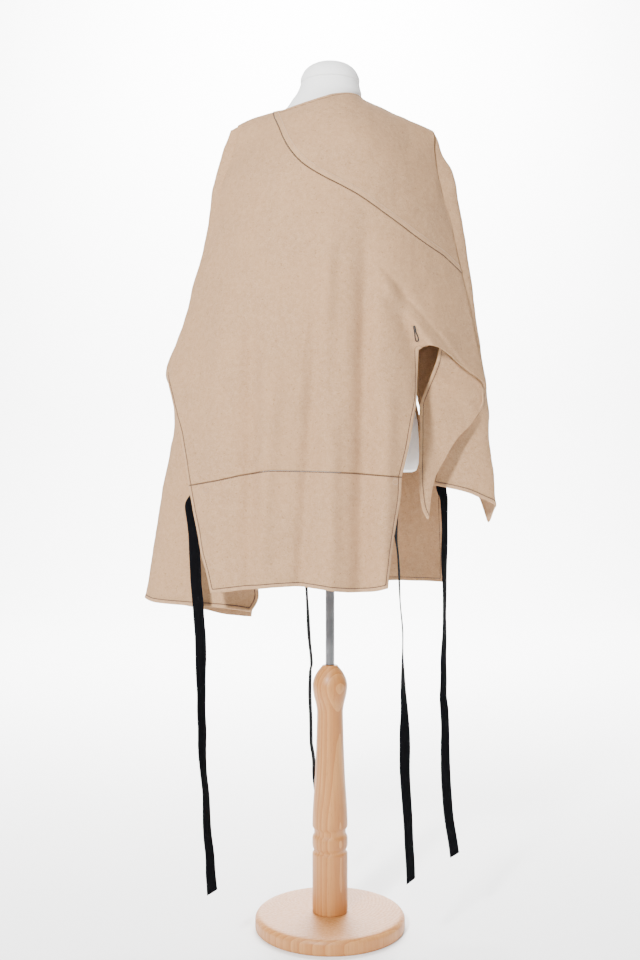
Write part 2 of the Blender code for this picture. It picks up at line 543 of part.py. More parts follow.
def make_flap(material, collection):
    """The tapering flap: its top lies against the lobe's inside, and it hangs clear below."""
    columns, rows = FLAP_COLUMNS, FLAP_ROWS

    def place(column, row):
        flat = patch(even_line(FLAP_TOP, columns), even_line(FLAP_BOTTOM, columns), FLAP_LEFT, FLAP_RIGHT,
                     column, row / rows)
        x, z = flat[:, 0], flat[:, 1]
        outer = back_y(x, z)
        hung = FLAP_FOLD_Y + FLAP_DEPTH * (outer - FLAP_FOLD_Y)
        drop = np.clip((row / rows) / FLAP_TURN, 0, 1)
        drop = drop * drop * (3 - 2 * drop)
        y = (1 - drop) * off_back(x, z, WALL + 2 * SEAM) + drop * hung
        return np.stack([x, y, z], axis=1)

    return grid_sheet("sleeve_flap", columns, rows, place, material, collection, (0, -1, 0))


def make_ribbon(name, path, material, collection):
    """A flat strip along its path, turning as it falls. Its first row lies where the ribbon is sewn on."""
    top, low = path["z"][0], path["z"][-1]

    def place(column, row):
        z = top + (low - top) * row / RIBBON_ROWS
        x = read(path, "x", z)
        y = read(path, "y", z)
        turn = np.radians(read(path, "turn", z))
        side = (column - 0.5) * RIBBON_WIDTH
        return np.stack([x + side * np.cos(turn), y + side * np.sin(turn), z], axis=1)

    outward = (0, 1, 0) if path["y"][1] > 0.05 else (0, -1, 0)
    return grid_sheet(name, 1, RIBBON_ROWS, place, material, collection, outward, wall=RIBBON_WALL)


def seat_ribbons():
    """Puts each ribbon's sewn end on the face of the cloth that carries it, turned as that face is. The
    distances allow for how far the flat facets lie from the curve."""
    for name, inward in (("ribbon_back_left", WALL + 4 * SEAM), ("ribbon_back_right", WALL + SEAM)):
        path = RIBBONS[name]
        x, z = path["x"][0], path["z"][0]
        path["y"][0] = off_back(x, z, inward)
        path["turn"][0] = math.degrees(math.atan((back_y(x + 0.005, z) - back_y(x - 0.005, z)) / 0.01))
    for name, side, across, inward in (("ribbon_sleeve", "right", 0.94, WALL + 2 * SEAM),
                                       ("ribbon_front", "left", 0.075, RIBBON_WALL - SEAM)):
        path = RIBBONS[name]
        near = np.array([across - 0.02, across, across + 0.02])
        x, y = front_point(side, near, np.full(3, path["z"][0]))
        path["x"][0] = x[1]
        path["y"][0] = y[1] + inward
        path["turn"][0] = math.degrees(math.atan((y[2] - y[0]) / (x[2] - x[0])))


def make_torso(material, collection):
    """Level sections joined into one solid; each is two half ellipses, front and back."""
    heights = np.sort(FORM_SECTIONS["z"])[::-1]
    rows = len(heights)
    angle = np.arange(FORM_SIDES) * 2 * math.pi / FORM_SIDES
    bm = bmesh.new()
    rings = []
    for z in heights:
        half = np.where(np.cos(angle) > 0, read(FORM_SECTIONS, "right", z), read(FORM_SECTIONS, "left", z))
        deep = np.where(np.sin(angle) > 0, read(FORM_SECTIONS, "front", z), read(FORM_SECTIONS, "back", z))
        rings.append([bm.verts.new((h * math.cos(a), d * math.sin(a), z)) for a, h, d in zip(angle, half, deep)])
    for upper, lower in zip(rings[:rows - 1], rings[1:]):
        for i in range(FORM_SIDES):
            j = (i + 1) % FORM_SIDES
            bm.faces.new((upper[i], lower[i], lower[j], upper[j]))
    bm.faces.new(rings[0])
    bm.faces.new(rings[-1][::-1])
    bmesh.ops.recalc_face_normals(bm, faces=bm.faces[:])
    mesh = bpy.data.meshes.new("form_torso")
    bm.to_mesh(mesh)
    bm.free()
    mesh.shade_smooth()
    return new_object("form_torso", mesh, material, collection)


def make_turned(name, profile, material, collection):
    """A profile of radius and height, turned about the stand's axis."""
    mesh = bpy.data.meshes.new(name)
    mesh.from_pydata([(radius, 0.0, z) for radius, z in profile],
                     [(i, i + 1) for i in range(len(profile) - 1)], [])
    obj = new_object(name, mesh, material, collection)
    screw = obj.modifiers.new("turn", "SCREW")
    screw.axis = "Z"
    screw.steps = screw.render_steps = TURNED_STEPS
    screw.use_merge_vertices = True
    screw.merge_threshold = 0.0001
    screw.use_smooth_shade = True
    return obj


def make_rod(material, collection):
    low, high = COLUMN_TOP + SEAM, FORM_SECTIONS["z"].min() - SEAM
    bm = bmesh.new()
    bmesh.ops.create_cone(bm, cap_ends=True, segments=16, radius1=ROD_RADIUS, radius2=ROD_RADIUS,
                          depth=high - low)
    bmesh.ops.translate(bm, verts=bm.verts[:], vec=(0, 0, (high + low) / 2))
    mesh = bpy.data.meshes.new("rod")
    bm.to_mesh(mesh)
    bm.free()
    return new_object("rod", mesh, material, collection)


def make_loop(material, collection):
    """A flattened ring of cord on the back's face."""
    start, end = np.array(LOOP_TOP), np.array(LOOP_LOW)
    way = (end - start) / np.hypot(*(end - start))
    side = np.array([-way[1], way[0]])
    count = 20
    turns = np.arange(count) * 2 * math.pi / count
    middle = (start + end) / 2
    half = np.hypot(*(end - start)) / 2
    flat = (middle + np.cos(turns)[:, None] * half * way + np.sin(turns)[:, None] * LOOP_HALF_WIDTH * side)
    lifted = on_back(flat)
    lifted[:, 1] = off_back(flat[:, 0], flat[:, 1], -LOOP_CORD - 7 * SEAM)
    curve = bpy.data.curves.new("hanging_loop", "CURVE")
    curve.dimensions = "3D"
    curve.bevel_depth = LOOP_CORD
    curve.bevel_resolution = 1
    spline = curve.splines.new("POLY")
    spline.points.add(count - 1)
    for point, place in zip(spline.points, lifted):
        point.co = (*place, 1.0)
    spline.use_cyclic_u = True
    return new_object("hanging_loop", curve, material, collection)


def make_material(name):
    colour, roughness, metallic = MATERIALS[name]
    material = bpy.data.materials.new(name)
    material.use_nodes = True
    shader = material.node_tree.nodes["Principled BSDF"]
    shader.inputs["Base Color"].default_value = (*colour, 1.0)
    shader.inputs["Roughness"].default_value = roughness
    shader.inputs["Metallic"].default_value = metallic
    return material


def main():
    for obj in list(bpy.data.objects):
        bpy.data.objects.remove(obj, do_unlink=True)
    parts = bpy.data.collections.new(OBJECT_NAME)
    bpy.context.scene.collection.children.link(parts)
    finish = {name: make_material(name) for name in MATERIALS}

    wool = finish["wool"]
    make_back_body(wool, parts)
    make_yoke(wool, parts)
    make_back_band(wool, parts)
    make_front("left", LEFT_FRONT_HEM, LEFT_SPREAD, wool, parts)
    make_front("right", RIGHT_FRONT_HEM, RIGHT_SPREAD, wool, parts,
               skip=lambda column, row: column == SLIT_COLUMN and row >= ABOVE_SLIT_ROWS)
    make_flap(wool, parts)
    seat_ribbons()
    for name, path in RIBBONS.items():
        make_ribbon(name, path, finish["black_ribbon"], parts)
    make_loop(finish["dark_cord"], parts)

    make_torso(finish["form_cloth"], parts)
    make_turned("neck_cap", CAP_PROFILE, finish["form_cloth"], parts)
    make_rod(finish["rod_metal"], parts)
    make_turned("column", COLUMN_PROFILE, finish["turned_wood"], parts)
    make_turned("base", BASE_PROFILE, finish["turned_wood"], parts)


main()
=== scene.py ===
# Looks of the wool cape on its dress form: fine cloth shells, sewing, ribbons, form, stand, floor, light.
# Metres, +Z up. The cape's back faces -Y, and its wearer's right is +X.

import math

import bpy
import numpy as np
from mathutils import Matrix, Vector


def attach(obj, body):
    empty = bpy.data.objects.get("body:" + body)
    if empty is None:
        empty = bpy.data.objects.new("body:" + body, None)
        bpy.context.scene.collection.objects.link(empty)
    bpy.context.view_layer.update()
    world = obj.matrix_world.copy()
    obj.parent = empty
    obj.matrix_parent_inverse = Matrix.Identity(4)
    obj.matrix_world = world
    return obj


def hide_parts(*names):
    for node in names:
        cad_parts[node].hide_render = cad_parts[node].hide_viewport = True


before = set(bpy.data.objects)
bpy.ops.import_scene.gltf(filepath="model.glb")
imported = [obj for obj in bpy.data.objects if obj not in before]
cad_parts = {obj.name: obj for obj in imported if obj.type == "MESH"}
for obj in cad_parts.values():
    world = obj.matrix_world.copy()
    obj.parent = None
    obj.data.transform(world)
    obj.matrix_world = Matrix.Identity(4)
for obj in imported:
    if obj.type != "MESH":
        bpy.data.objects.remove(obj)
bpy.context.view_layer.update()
print("frame loaded:", len(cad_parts), "nodes")


# Camera: level with the middle of the cape, straight behind it.
camera = {"place": (-0.019, -2.2, 0.849), "lens": 43.4}

cameraData = bpy.data.cameras.new("camera")
cameraData.lens = camera["lens"]
cameraData.sensor_width = 36.0
cameraObject = bpy.data.objects.new("camera", cameraData)
cameraObject.location = camera["place"]
cameraObject.rotation_euler = (math.pi / 2, 0.0, 0.0)
bpy.context.collection.objects.link(cameraObject)
bpy.context.scene.camera = cameraObject


# Tools for tables, lines and grids.
def columnsOf(names, *rows):
    return dict(zip(names.split(), np.array(rows, float).T))


def readCurve(knots, values, at):
    # A monotone cubic through the knots, so that it never swings past a value.
    steps = np.diff(knots)
    slopes = np.diff(values) / steps
    sameWay = slopes[:-1] * slopes[1:] > 0
    inner = np.zeros(len(knots) - 2)
    inner[sameWay] = (2 * slopes[:-1] * slopes[1:])[sameWay] / (slopes[:-1] + slopes[1:])[sameWay]
    tangents = np.concatenate([slopes[:1], inner, slopes[-1:]])
    at = np.clip(at, knots[0], knots[-1])
    row = np.clip(np.searchsorted(knots, at) - 1, 0, len(steps) - 1)
    s = (at - knots[row]) / steps[row]
    return (values[row] * (1 + 2 * s) * (1 - s) ** 2 + values[row + 1] * s * s * (3 - 2 * s)
            + steps[row] * (tangents[row] * s * (1 - s) ** 2 - tangents[row + 1] * s * s * (1 - s)))


def read(table, name, at, by="z"):
    order = np.argsort(table[by])
    return readCurve(table[by][order], table[name][order], at)


def reachAlong(points):
    # The distance along the line to each of its points.
    return np.concatenate([[0.0], np.cumsum(np.linalg.norm(np.diff(points, axis=0), axis=1))])


def roundAngles(sides):
    return np.arange(sides) * 2 * math.pi / sides


def smoothLine(points, share):
    # The line's points at shares of its length, on a cubic through them.
    points = np.array(points, float)
    reach = reachAlong(points)
    reach /= reach[-1]
    share = np.asarray(share, float)
    if len(points) == 2:
        return points[0] + share[..., None] * (points[1] - points[0])
    return np.stack([readCurve(reach, points[:, i], share) for i in range(points.shape[1])], axis=-1)


def lengthOf(points):
    return float(np.linalg.norm(np.diff(np.array(points, float), axis=0), axis=1).sum())


def ramp(low, high, value):
    s = np.clip((value - low) / (high - low), 0, 1)
    return s * s * (3 - 2 * s)


def slowWaves(x, z, size, seed, count=16):
    # A sum of waves in random directions, about one unit high.
    rng = np.random.default_rng(seed)
    total = np.zeros(np.broadcast(x, z).shape)
    for _ in range(count):
        angle = rng.uniform(0, math.pi)
        phase = rng.uniform(0, 2 * math.pi)
        reach = size * rng.uniform(0.6, 1.7)
        total += np.sin((x * math.cos(angle) + z * math.sin(angle)) * 2 * math.pi / reach + phase)
    return total / math.sqrt(count)


# The cape's two surfaces, as in its solids.
wool = {
    "wall": 0.0022,
    "seam": 0.0003,          # the room between two panels
    "hemWidth": 0.0070,      # from the edge to its stitch line
    "hemLift": 0.0008,
    "grooveDepth": 0.0006,
    "grooveWidth": 0.0009,
    "seamDepth": 0.0007,
    "seamWidth": 0.0009,
    "bandWidth": 0.0115,     # the raised band beside the diagonal seam
    "bandLift": 0.0006,
    "roll": 0.0002,
    "step": 0.0055,          # grid spacing away from edges
    "nearEdge": (0.0, 0.00025, 0.0007, 0.0013, 0.0022, 0.0036, 0.0050, 0.0060, 0.0066, 0.0070, 0.0074,
                 0.0080, 0.0090, 0.0106, 0.0132, 0.0170),
    "wave": (0.0011, 0.10),      # height and size of the slow waves
    "ripple": (0.00035, 0.035),
}
wall = wool["wall"]
ridge = columnsOf(
    "x z",
    (-0.260, 1.4635),
    (-0.188, 1.5150),
    (-0.150, 1.5338),
    (-0.108, 1.5460),
    (-0.050, 1.5777),
    (-0.010, 1.5885),
    (0.030, 1.5833),
    (0.068, 1.5662),
    (0.133, 1.5376),
    (0.194, 1.5130),
    (0.300, 1.4599),
)
ridgeRoll = 0.13
shoulderTip = {"middle": 0.011, "start": 0.120, "run": 0.065, "gap": 0.0018}
backSections = columnsOf(
    "z left right foldY backY",
    (1.600, -0.176, 0.196, -0.015, -0.105),
    (1.500, -0.176, 0.197, -0.020, -0.118),
    (1.400, -0.203, 0.208, -0.028, -0.140),
    (1.300, -0.229, 0.233, -0.033, -0.158),
    (1.200, -0.260, 0.256, -0.036, -0.168),
    (1.050, -0.307, 0.288, -0.038, -0.176),
    (0.900, -0.330, 0.310, -0.045, -0.182),
    (0.650, -0.365, 0.330, -0.060, -0.190),
)
backRoundness = 2.3
frontSections = columnsOf(
    "z left right foldY frontY leftEdge leftEdgeY rightEdge rightEdgeY",
    (1.600, -0.157, 0.156, -0.004, 0.100, -0.1600, -0.015, 0.170, -0.015),
    (1.508, -0.1910, 0.1990, -0.004, 0.112, -0.1755, -0.018, 0.1925, -0.018),
    (1.476, -0.203, 0.212, -0.004, 0.122, -0.1775, -0.022, 0.1945, -0.022),
    (1.438, -0.213, 0.231, -0.005, 0.132, -0.190, -0.026, 0.200, -0.026),
    (1.398, -0.223, 0.240, -0.006, 0.140, -0.204, -0.028, 0.2085, -0.028),
    (1.343, -0.230, 0.2495, -0.008, 0.148, -0.2185, -0.031, 0.2235, -0.031),
    (1.282, -0.239, 0.2590, -0.012, 0.154, -0.2335, -0.034, 0.237, -0.034),
    (1.240, -0.251, 0.2650, -0.014, 0.157, -0.2495, -0.035, 0.246, -0.035),
    (1.172, -0.268, 0.2735, -0.018, 0.160, -0.2665, -0.036, 0.2615, -0.036),
    (1.105, -0.290, 0.2820, -0.018, 0.162, -0.2885, -0.037, 0.2755, -0.037),
    (1.046, -0.3095, 0.2925, -0.016, 0.163, -0.3076, -0.037, 0.2885, -0.037),
    (1.021, -0.302, 0.2960, -0.014, 0.164, -0.296, -0.042, 0.2925, -0.036),
    (0.990, -0.294, 0.2985, -0.012, 0.164, -0.278, -0.050, 0.2800, -0.040),
    (0.925, -0.2985, 0.3030, -0.008, 0.165, -0.245, -0.070, 0.2280, -0.040),
    (0.842, -0.3160, 0.3130, -0.004, 0.166, -0.208, -0.088, 0.1900, -0.036),
    (0.765, -0.3290, 0.3160, 0.000, 0.168, -0.178, -0.098, 0.1900, -0.030),
    (0.640, -0.3495, 0.3190, 0.003, 0.171, -0.130, -0.107, 0.1900, -0.030),
    (0.600, -0.3560, 0.3200, 0.004, 0.172, -0.150, -0.110, 0.1900, -0.030),
)
frontFullness = 0.86
backEdgeRun = 1.2        # how much of across the cloth behind the side fold takes up
# Soft folds: ridges stand out and troughs lie in, each along a line, with its half width.
backFolds = columnsOf(
    "xTop zTop xLow zLow width height",
    (0.002, 1.330, -0.024, 0.930, 0.013, 0.009),
    (-0.014, 1.200, -0.050, 0.640, 0.016, -0.015),
    (0.000, 1.000, 0.002, 0.640, 0.016, 0.011),
    (0.063, 1.360, 0.053, 0.640, 0.017, -0.017),
    (0.104, 1.080, 0.092, 0.640, 0.016, 0.010),
    (-0.141, 1.200, -0.141, 0.800, 0.016, -0.012),
    (-0.094, 1.150, -0.133, 0.640, 0.020, 0.010),
    (-0.201, 1.240, -0.203, 0.900, 0.022, 0.007),
    (0.116, 1.200, 0.140, 1.112, 0.019, -0.011),
    (0.083, 1.217, 0.140, 1.143, 0.011, 0.007),
    (0.078, 1.240, 0.150, 1.160, 0.005, -0.002),
)
frontFolds = columnsOf(
    "xTop zTop xLow zLow width height",
    (-0.150, 1.400, -0.190, 0.600, 0.024, 0.0100),
    (-0.095, 1.250, -0.110, 0.600, 0.022, -0.0090),
    (-0.040, 1.150, -0.060, 0.600, 0.018, 0.0050),
    (0.140, 1.380, 0.150, 0.620, 0.024, 0.0100),
    (0.090, 1.240, 0.085, 0.620, 0.020, -0.0080),
    (0.200, 1.200, 0.190, 0.660, 0.018, 0.0060),
)
foldStart = 0.35


def ridgeShare(x, z):
    # 0 on the shoulder ridge, growing to 1 where the cloth hangs free, as a quarter round.
    below = np.clip((read(ridge, "z", x, "x") - z) / ridgeRoll, 0.0, 1.0)
    return np.sqrt(1.0 - (1.0 - below) ** 2)


def ridgeGap(x, z):
    # How far front and back stand off the ridge, more where the shoulder tips close up.
    tip = np.clip((np.abs(x - shoulderTip["middle"]) - shoulderTip["start"]) / shoulderTip["run"], 0, 1)
    low = np.clip((read(ridge, "z", x, "x") - z) / ridgeRoll, 0, 1)
    return wool["seam"] + shoulderTip["gap"] * tip * (1 - low) ** 4


def foldHeight(folds, x, z):
    # The sum of bells, each across its own line and fading in from the line's upper end.
    total = np.zeros(np.broadcast(x, z).shape)
    for x0, z0, x1, z1, width, height in zip(*folds.values()):
        length = math.hypot(x1 - x0, z1 - z0)
        wayX, wayZ = (x1 - x0) / length, (z1 - z0) / length
        on = ((x - x0) * wayX + (z - z0) * wayZ) / length
        off = (x - x0) * wayZ - (z - z0) * wayX
        total = total + height * ramp(0, foldStart, on) * np.exp(-((off / width) ** 2))
    return total


def backDepth(x, z):
    # A rounded section between the outer folds, brought to nothing at the ridge.
    left, right = read(backSections, "left", z), read(backSections, "right", z)
    reach = np.clip(np.abs((x - (left + right) / 2) / ((right - left) / 2)), 0, 1)
    fold, deep = read(backSections, "foldY", z), read(backSections, "backY", z)
    y = fold + (deep - fold) * (1.0 - reach ** backRoundness)
    return ridgeShare(x, z) * (y - foldHeight(backFolds, x, z)) - ridgeGap(x, z)


def onBack(flat):
    x, z = flat[..., 0], flat[..., 1]
    return np.stack([x, backDepth(x, z), z], axis=-1)


def backSlope(x, z, step):
    return (backDepth(x + step, z) - backDepth(x - step, z)) / (2 * step)


def foldShare(side, z):
    # The part of across that lies before the side fold.
    reach = read(frontSections, side, z)
    edge, edgeY = read(frontSections, side + "Edge", z), read(frontSections, side + "EdgeY", z)
    fold, deep = read(frontSections, "foldY", z), read(frontSections, "frontY", z)
    run = np.hypot(reach, deep - fold)
    return run / (run + backEdgeRun * np.hypot(reach - edge, fold - edgeY))


def behindFold(side, across, z):
    share = foldShare(side, z)
    return np.clip((across - share) / (1 - share), 0, 1)


def onFront(side, across, z):
    # Across runs 0 to 1: from the middle a full quarter round to the side fold, then on to the back
    # edge, whose first stretch stays near the fold in x and moves off it in y.
    reach = read(frontSections, side, z)
    edge, edgeY = read(frontSections, side + "Edge", z), read(frontSections, side + "EdgeY", z)
    fold, deep = read(frontSections, "foldY", z), read(frontSections, "frontY", z)
    share, behind = foldShare(side, z), behindFold(side, across, z)
    turn = np.clip(across / share, 0, 1) * math.pi / 2
    x = np.where(across < share, reach * np.sin(turn) ** frontFullness,
                 reach + (edge - reach) * behind ** 1.5)
    y = np.where(across < share, fold + (deep - fold) * np.clip(np.cos(turn), 0, 1) ** frontFullness,
                 fold + (edgeY - fold) * (1.3 * behind - 0.3 * behind ** 2))
    y = ridgeShare(x, z) * (y + (across < share) * foldHeight(frontFolds, x, z))
    return np.stack([x, y + (wall + wool["seam"]) * behind + ridgeGap(x, z), z], axis=-1)


# Shells: a grid for the outside, one for the inside, and a rim round every open edge.
def placesAlong(length, startNear=True, endNear=True):
    # Shares of a length: close together near the wanted ends, evenly spread between.
    near = np.array(wool["nearEdge"])
    low = near if startNear else np.zeros(1)
    high = length - near if endNear else np.full(1, length)
    count = max(2, int(round((high.min() - low.max()) / wool["step"])))
    places = np.concatenate([low, np.linspace(low.max(), high.min(), count + 1)[1:-1], high])
    return np.unique(np.round(places / length, 7))


def gridNormals(points, outward):
    # The cross product of the grid's two directions, turned to the outside.
    normals = np.cross(np.gradient(points, axis=1), np.gradient(points, axis=0))
    normals /= np.linalg.norm(normals, axis=-1, keepdims=True) + 1e-12
    return normals * (1.0 if (normals @ np.array(outward, float)).mean() > 0 else -1.0)


farOff = 0.1             # the distance written where no line is near
someAtOnce = 4000


def gapTo(points, lines):
    # Distance from each point to the nearest of some polylines.
    flat = points.reshape(-1, 3)
    best = np.full(len(flat), farOff)
    for line in lines:
        starts, ways = line[:-1], np.diff(line, axis=0)
        lengths = (ways ** 2).sum(1) + 1e-18
        for first in range(0, len(flat), someAtOnce):
            part = slice(first, first + someAtOnce)
            some = flat[part, None, :] - starts[None]
            on = np.clip((some * ways[None]).sum(-1) / lengths, 0, 1)
            off = np.linalg.norm(some - on[..., None] * ways[None], axis=-1).min(1)
            best[part] = np.minimum(best[part], off)
    return best.reshape(points.shape[:-1])


def meshFrom(name, points, faces, attributes=None):
    mesh = bpy.data.meshes.new(name)
    mesh.from_pydata(points.tolist(), [], faces if isinstance(faces, list) else faces.tolist())
    for label, values in (attributes or {}).items():
        mesh.attributes.new(label, "FLOAT", "POINT").data.foreach_set("value", values.astype(np.float32))
    mesh.shade_smooth()
    mesh.update()
    piece = bpy.data.objects.new(name, mesh)
    bpy.context.collection.objects.link(piece)
    return piece


def shell(name, outer, inner, keep, attributes, innerToo=False):
    # Outer quads, inner quads turned over, and a rim quad on each edge that has no twin.
    rows, columns = outer.shape[:2]
    total = rows * columns
    corner = np.arange(total).reshape(rows, columns)
    quads = np.stack([corner[:-1, :-1], corner[1:, :-1], corner[1:, 1:], corner[:-1, 1:]], -1)[keep]
    points = np.concatenate([outer.reshape(-1, 3), inner.reshape(-1, 3)])
    middle = points[quads].mean(1) - points[quads + total].mean(1)
    facing = np.cross(points[quads[:, 1]] - points[quads[:, 0]], points[quads[:, 3]] - points[quads[:, 0]])
    if (facing * middle).sum() < 0:
        quads = quads[:, ::-1]
    starts, ends = quads.ravel(), np.roll(quads, -1, axis=1).ravel()
    lone = ~np.isin(starts * total + ends, ends * total + starts)
    a, b = starts[lone], ends[lone]
    rim = np.stack([b, a, a + total, b + total], -1)
    faces = np.concatenate([quads, quads[:, ::-1] + total, rim])
    used, index = np.unique(faces, return_inverse=True)
    values = {}
    for label, given in attributes.items():
        # A distance is read as far away on the inside, and a mask as nothing.
        nothing = farOff if label.endswith("Gap") else 0.0
        inside = given if innerToo else np.full(given.shape, nothing)
        values[label] = np.concatenate([given.ravel(), inside.ravel()])[used]
    return meshFrom(name, points[used], index.reshape(faces.shape), values)


# The turned hem's section: how softly it steps down, its padding, the rounding of cut edges, and the painted
# shade and highlight.
hemShape = {"stepUp": 0.0006, "stepDown": 0.0022, "padding": 0.0003, "curlWidth": 0.022, "rollWidth": 0.006,
            "edgeRun": 0.55, "edgeDepth": 0.47, "innerLift": 0.3, "innerReach": 0.02, "paintedGrooveShadeWidth": 0.0007,
            "marginHighlightFrom": 0.0022, "marginHighlightTo": 0.0002}


def clothShell(name, base, outward, hems=(), seams=(), rolls=(), keep=None, seed=1, curl=0.0, band=None):
    # The base surface, waved a little, raised along hems, sunk along seams, and rounded over at each edge.
    # It also returns what the sewing needs: the walls, their normals and the distances from the edges.
    normals = gridNormals(base, outward)
    hemGap, seamGap, rollGap = gapTo(base, hems), gapTo(base, seams), gapTo(base, rolls)
    calm = ramp(0.0, 0.02, np.minimum(seamGap, rollGap))
    (waveHeight, waveSize), (rippleHeight, rippleSize) = wool["wave"], wool["ripple"]
    wave = (waveHeight * slowWaves(base[..., 0], base[..., 2], waveSize, seed)
            + rippleHeight * slowWaves(base[..., 0], base[..., 2], rippleSize, seed + 50)) * calm
    sink = (curl * np.clip(1 - hemGap / hemShape["curlWidth"], 0, 1) ** 2
            + wool["roll"] * np.clip(1 - rollGap / hemShape["rollWidth"], 0, 1) ** 2)
    middle = base + normals * (wave - sink)[..., None]
    hemWidth, stepDown = wool["hemWidth"], hemShape["stepDown"]
    lift = wool["hemLift"] * (1 - ramp(hemWidth - hemShape["stepUp"], hemWidth + stepDown, hemGap))
    lift += hemShape["padding"] * np.exp(-(((hemGap - 0.5 * hemWidth) / stepDown) ** 2))
    lift -= wool["grooveDepth"] * np.exp(-((hemGap - hemWidth) / wool["grooveWidth"]) ** 2)
    lift -= wool["seamDepth"] * np.exp(-((seamGap / wool["seamWidth"]) ** 2))
    # A mask for painted highlight: the raised hem margin, and the band beside the diagonal seam, are drawn
    # lighter.
    marginHighlight = 1 - ramp(hemWidth - hemShape["marginHighlightFrom"], hemWidth - hemShape["marginHighlightTo"], hemGap)
    if band is not None:
        bandWidth = wool["bandWidth"]
        inBand = ramp(0.0008, 0.0028, seamGap) * (1 - ramp(bandWidth - 0.002, bandWidth, seamGap))
        lift += wool["bandLift"] * inBand * band
        marginHighlight = np.maximum(marginHighlight, inBand * band)
    edge = np.clip(1 - np.minimum(hemGap, rollGap) / (hemShape["edgeRun"] * wall), 0, 1)
    rounded = hemShape["edgeDepth"] * wall * (1 - np.sqrt(1 - edge ** 2))
    outer = middle + normals * (lift - rounded)[..., None]
    innerLift = hemShape["innerLift"] * lift * (hemGap < hemShape["innerReach"])
    inner = middle - normals * (wall - rounded + innerLift)[..., None]
    if keep is None:
        keep = np.ones((base.shape[0] - 1, base.shape[1] - 1), bool)
    # A mask for painted shade along each hem's stitch groove.
    paintedGrooveShade = np.exp(-(((hemGap - hemWidth) / hemShape["paintedGrooveShadeWidth"]) ** 2))
    piece = shell(name, outer, inner, keep, {"seamGap": seamGap, "marginHighlight": marginHighlight, "paintedGrooveShade": paintedGrooveShade})
    return piece, {"outer": outer, "inner": inner, "normals": normals, "hemGap": hemGap, "seamGap": seamGap}


def partOf(surface, rows, columns):
    # A stretch of a finished surface's grid.
    names = ("outer", "inner", "normals", "hemGap", "seamGap")
    return {name: surface[name][rows, columns] for name in names}


# Sewing: short stitches along the line at a given distance from an edge.
stitch = {"pitch": 0.0036, "length": 0.0035, "radius": 0.00058, "sides": 6, "raised": 0.00015,
          "rings": (-0.5, -0.38, 0.38, 0.5), "thin": (0.35, 1.0, 1.0, 0.35), "sunk": (1, 0, 0, 1),
          "sink": 0.0003}


def lineAt(surface, gap, distance, axis, fromEnd=False, part=slice(None), inside=False):
    # For each grid line that runs in from an edge, the first place at that distance.
    points, normals, values = surface["outer"], surface["normals"], surface[gap]
    if inside:
        points, normals = surface["inner"], -normals
    if axis == 1:
        points, normals, values = points.swapaxes(0, 1), normals.swapaxes(0, 1), values.T
    if fromEnd:
        points, normals, values = points[::-1], normals[::-1], values[::-1]
    points, normals, values = points[:, part], normals[:, part], values[:, part]
    past = values >= distance
    first = past.argmax(0)
    good = np.flatnonzero((first > 0) & past.any(0))
    row = first[good]
    share = (distance - values[row - 1, good]) / (values[row, good] - values[row - 1, good])
    place = points[row - 1, good] + share[:, None] * (points[row, good] - points[row - 1, good])
    near = np.linalg.norm(place - points[0, good], axis=1) < 3 * distance + 0.004
    return place[near], normals[row, good][near]


def stitchRow(place, normal, pitch=None):
    # Rings of each stitch: four along its length, the outer two small and sunk.
    pitch = pitch or stitch["pitch"]
    keepers = np.concatenate([[True], np.linalg.norm(np.diff(place, axis=0), axis=1) > 1e-6])
    place, normal = place[keepers], normal[keepers]
    reach = reachAlong(place)
    count = int(reach[-1] / pitch)
    middle = (np.arange(count) + 0.5) * reach[-1] / count
    size = stitch["length"] * pitch / stitch["pitch"]
    at = middle[:, None] + np.array(stitch["rings"]) * size
    centre = np.stack([np.interp(at, reach, place[:, i]) for i in range(3)], -1)
    up = np.stack([np.interp(middle, reach, normal[:, i]) for i in range(3)], -1)[:, None]
    way = centre[:, -1:] - centre[:, :1]
    way = way / np.linalg.norm(way, axis=-1, keepdims=True)
    up = up - way * (up * way).sum(-1, keepdims=True)
    up = up / np.linalg.norm(up, axis=-1, keepdims=True)
    side = np.cross(way, up)
    radius = stitch["radius"] * np.array(stitch["thin"])
    centre = centre + up * (stitch["raised"] - stitch["sink"] * np.array(stitch["sunk"]))[None, :, None]
    angle = roundAngles(stitch["sides"])
    return (centre[:, :, None] + radius[None, :, None, None]
            * (np.cos(angle)[:, None] * side[:, :, None] + np.sin(angle)[:, None] * up[:, :, None]))


def sewing(name, rows):
    # One mesh for all stitches of a piece: tubes of four rings, closed at both ends.
    rings = np.concatenate(rows)
    count, around, sides = rings.shape[:3]
    corner = np.arange(around * sides).reshape(around, sides)
    beside = np.roll(corner, -1, axis=1)
    tube = np.stack([corner[:-1], beside[:-1], beside[1:], corner[1:]], -1).reshape(-1, 4)
    starts = (np.arange(count) * around * sides)[:, None, None]
    quads = (tube[None] + starts).reshape(-1, 4).tolist()
    caps = np.concatenate([(corner[0][::-1] + starts[:, 0]), (corner[-1] + starts[:, 0])]).tolist()
    return meshFrom(name, rings.reshape(-1, 3), quads + caps)


def patch(top, bottom, left, right, across, down):
    # Four sides filled evenly: straight from top to bottom, bent as the two sides bend.
    leftBend = smoothLine(left, down) - smoothLine((left[0], left[-1]), down)
    rightBend = smoothLine(right, down) - smoothLine((right[0], right[-1]), down)
    across, down = across[None, :, None], down[:, None, None]
    return ((1 - down) * top[None] + down * bottom[None]
            + (1 - across) * leftBend[:, None] + across * rightBend[:, None])


def joinedLine(*parts):
    # Several smooth lines one after another, read by line number and share together.
    def at(place):
        number = np.clip(place.astype(int), 0, len(parts) - 1)
        out = np.empty((len(place), 2))
        for k, points in enumerate(parts):
            out[number == k] = smoothLine(points, (place - k)[number == k])
        return out
    return at


def shoulderLine(start, end):
    x = np.linspace(start, end, 9)
    return np.stack([x, read(ridge, "z", x, "x")], axis=1)


def finishPiece(piece, material, nodes=()):
    piece.data.materials.append(material)
    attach(piece, "root")
    if nodes:
        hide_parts(*nodes)
    return piece


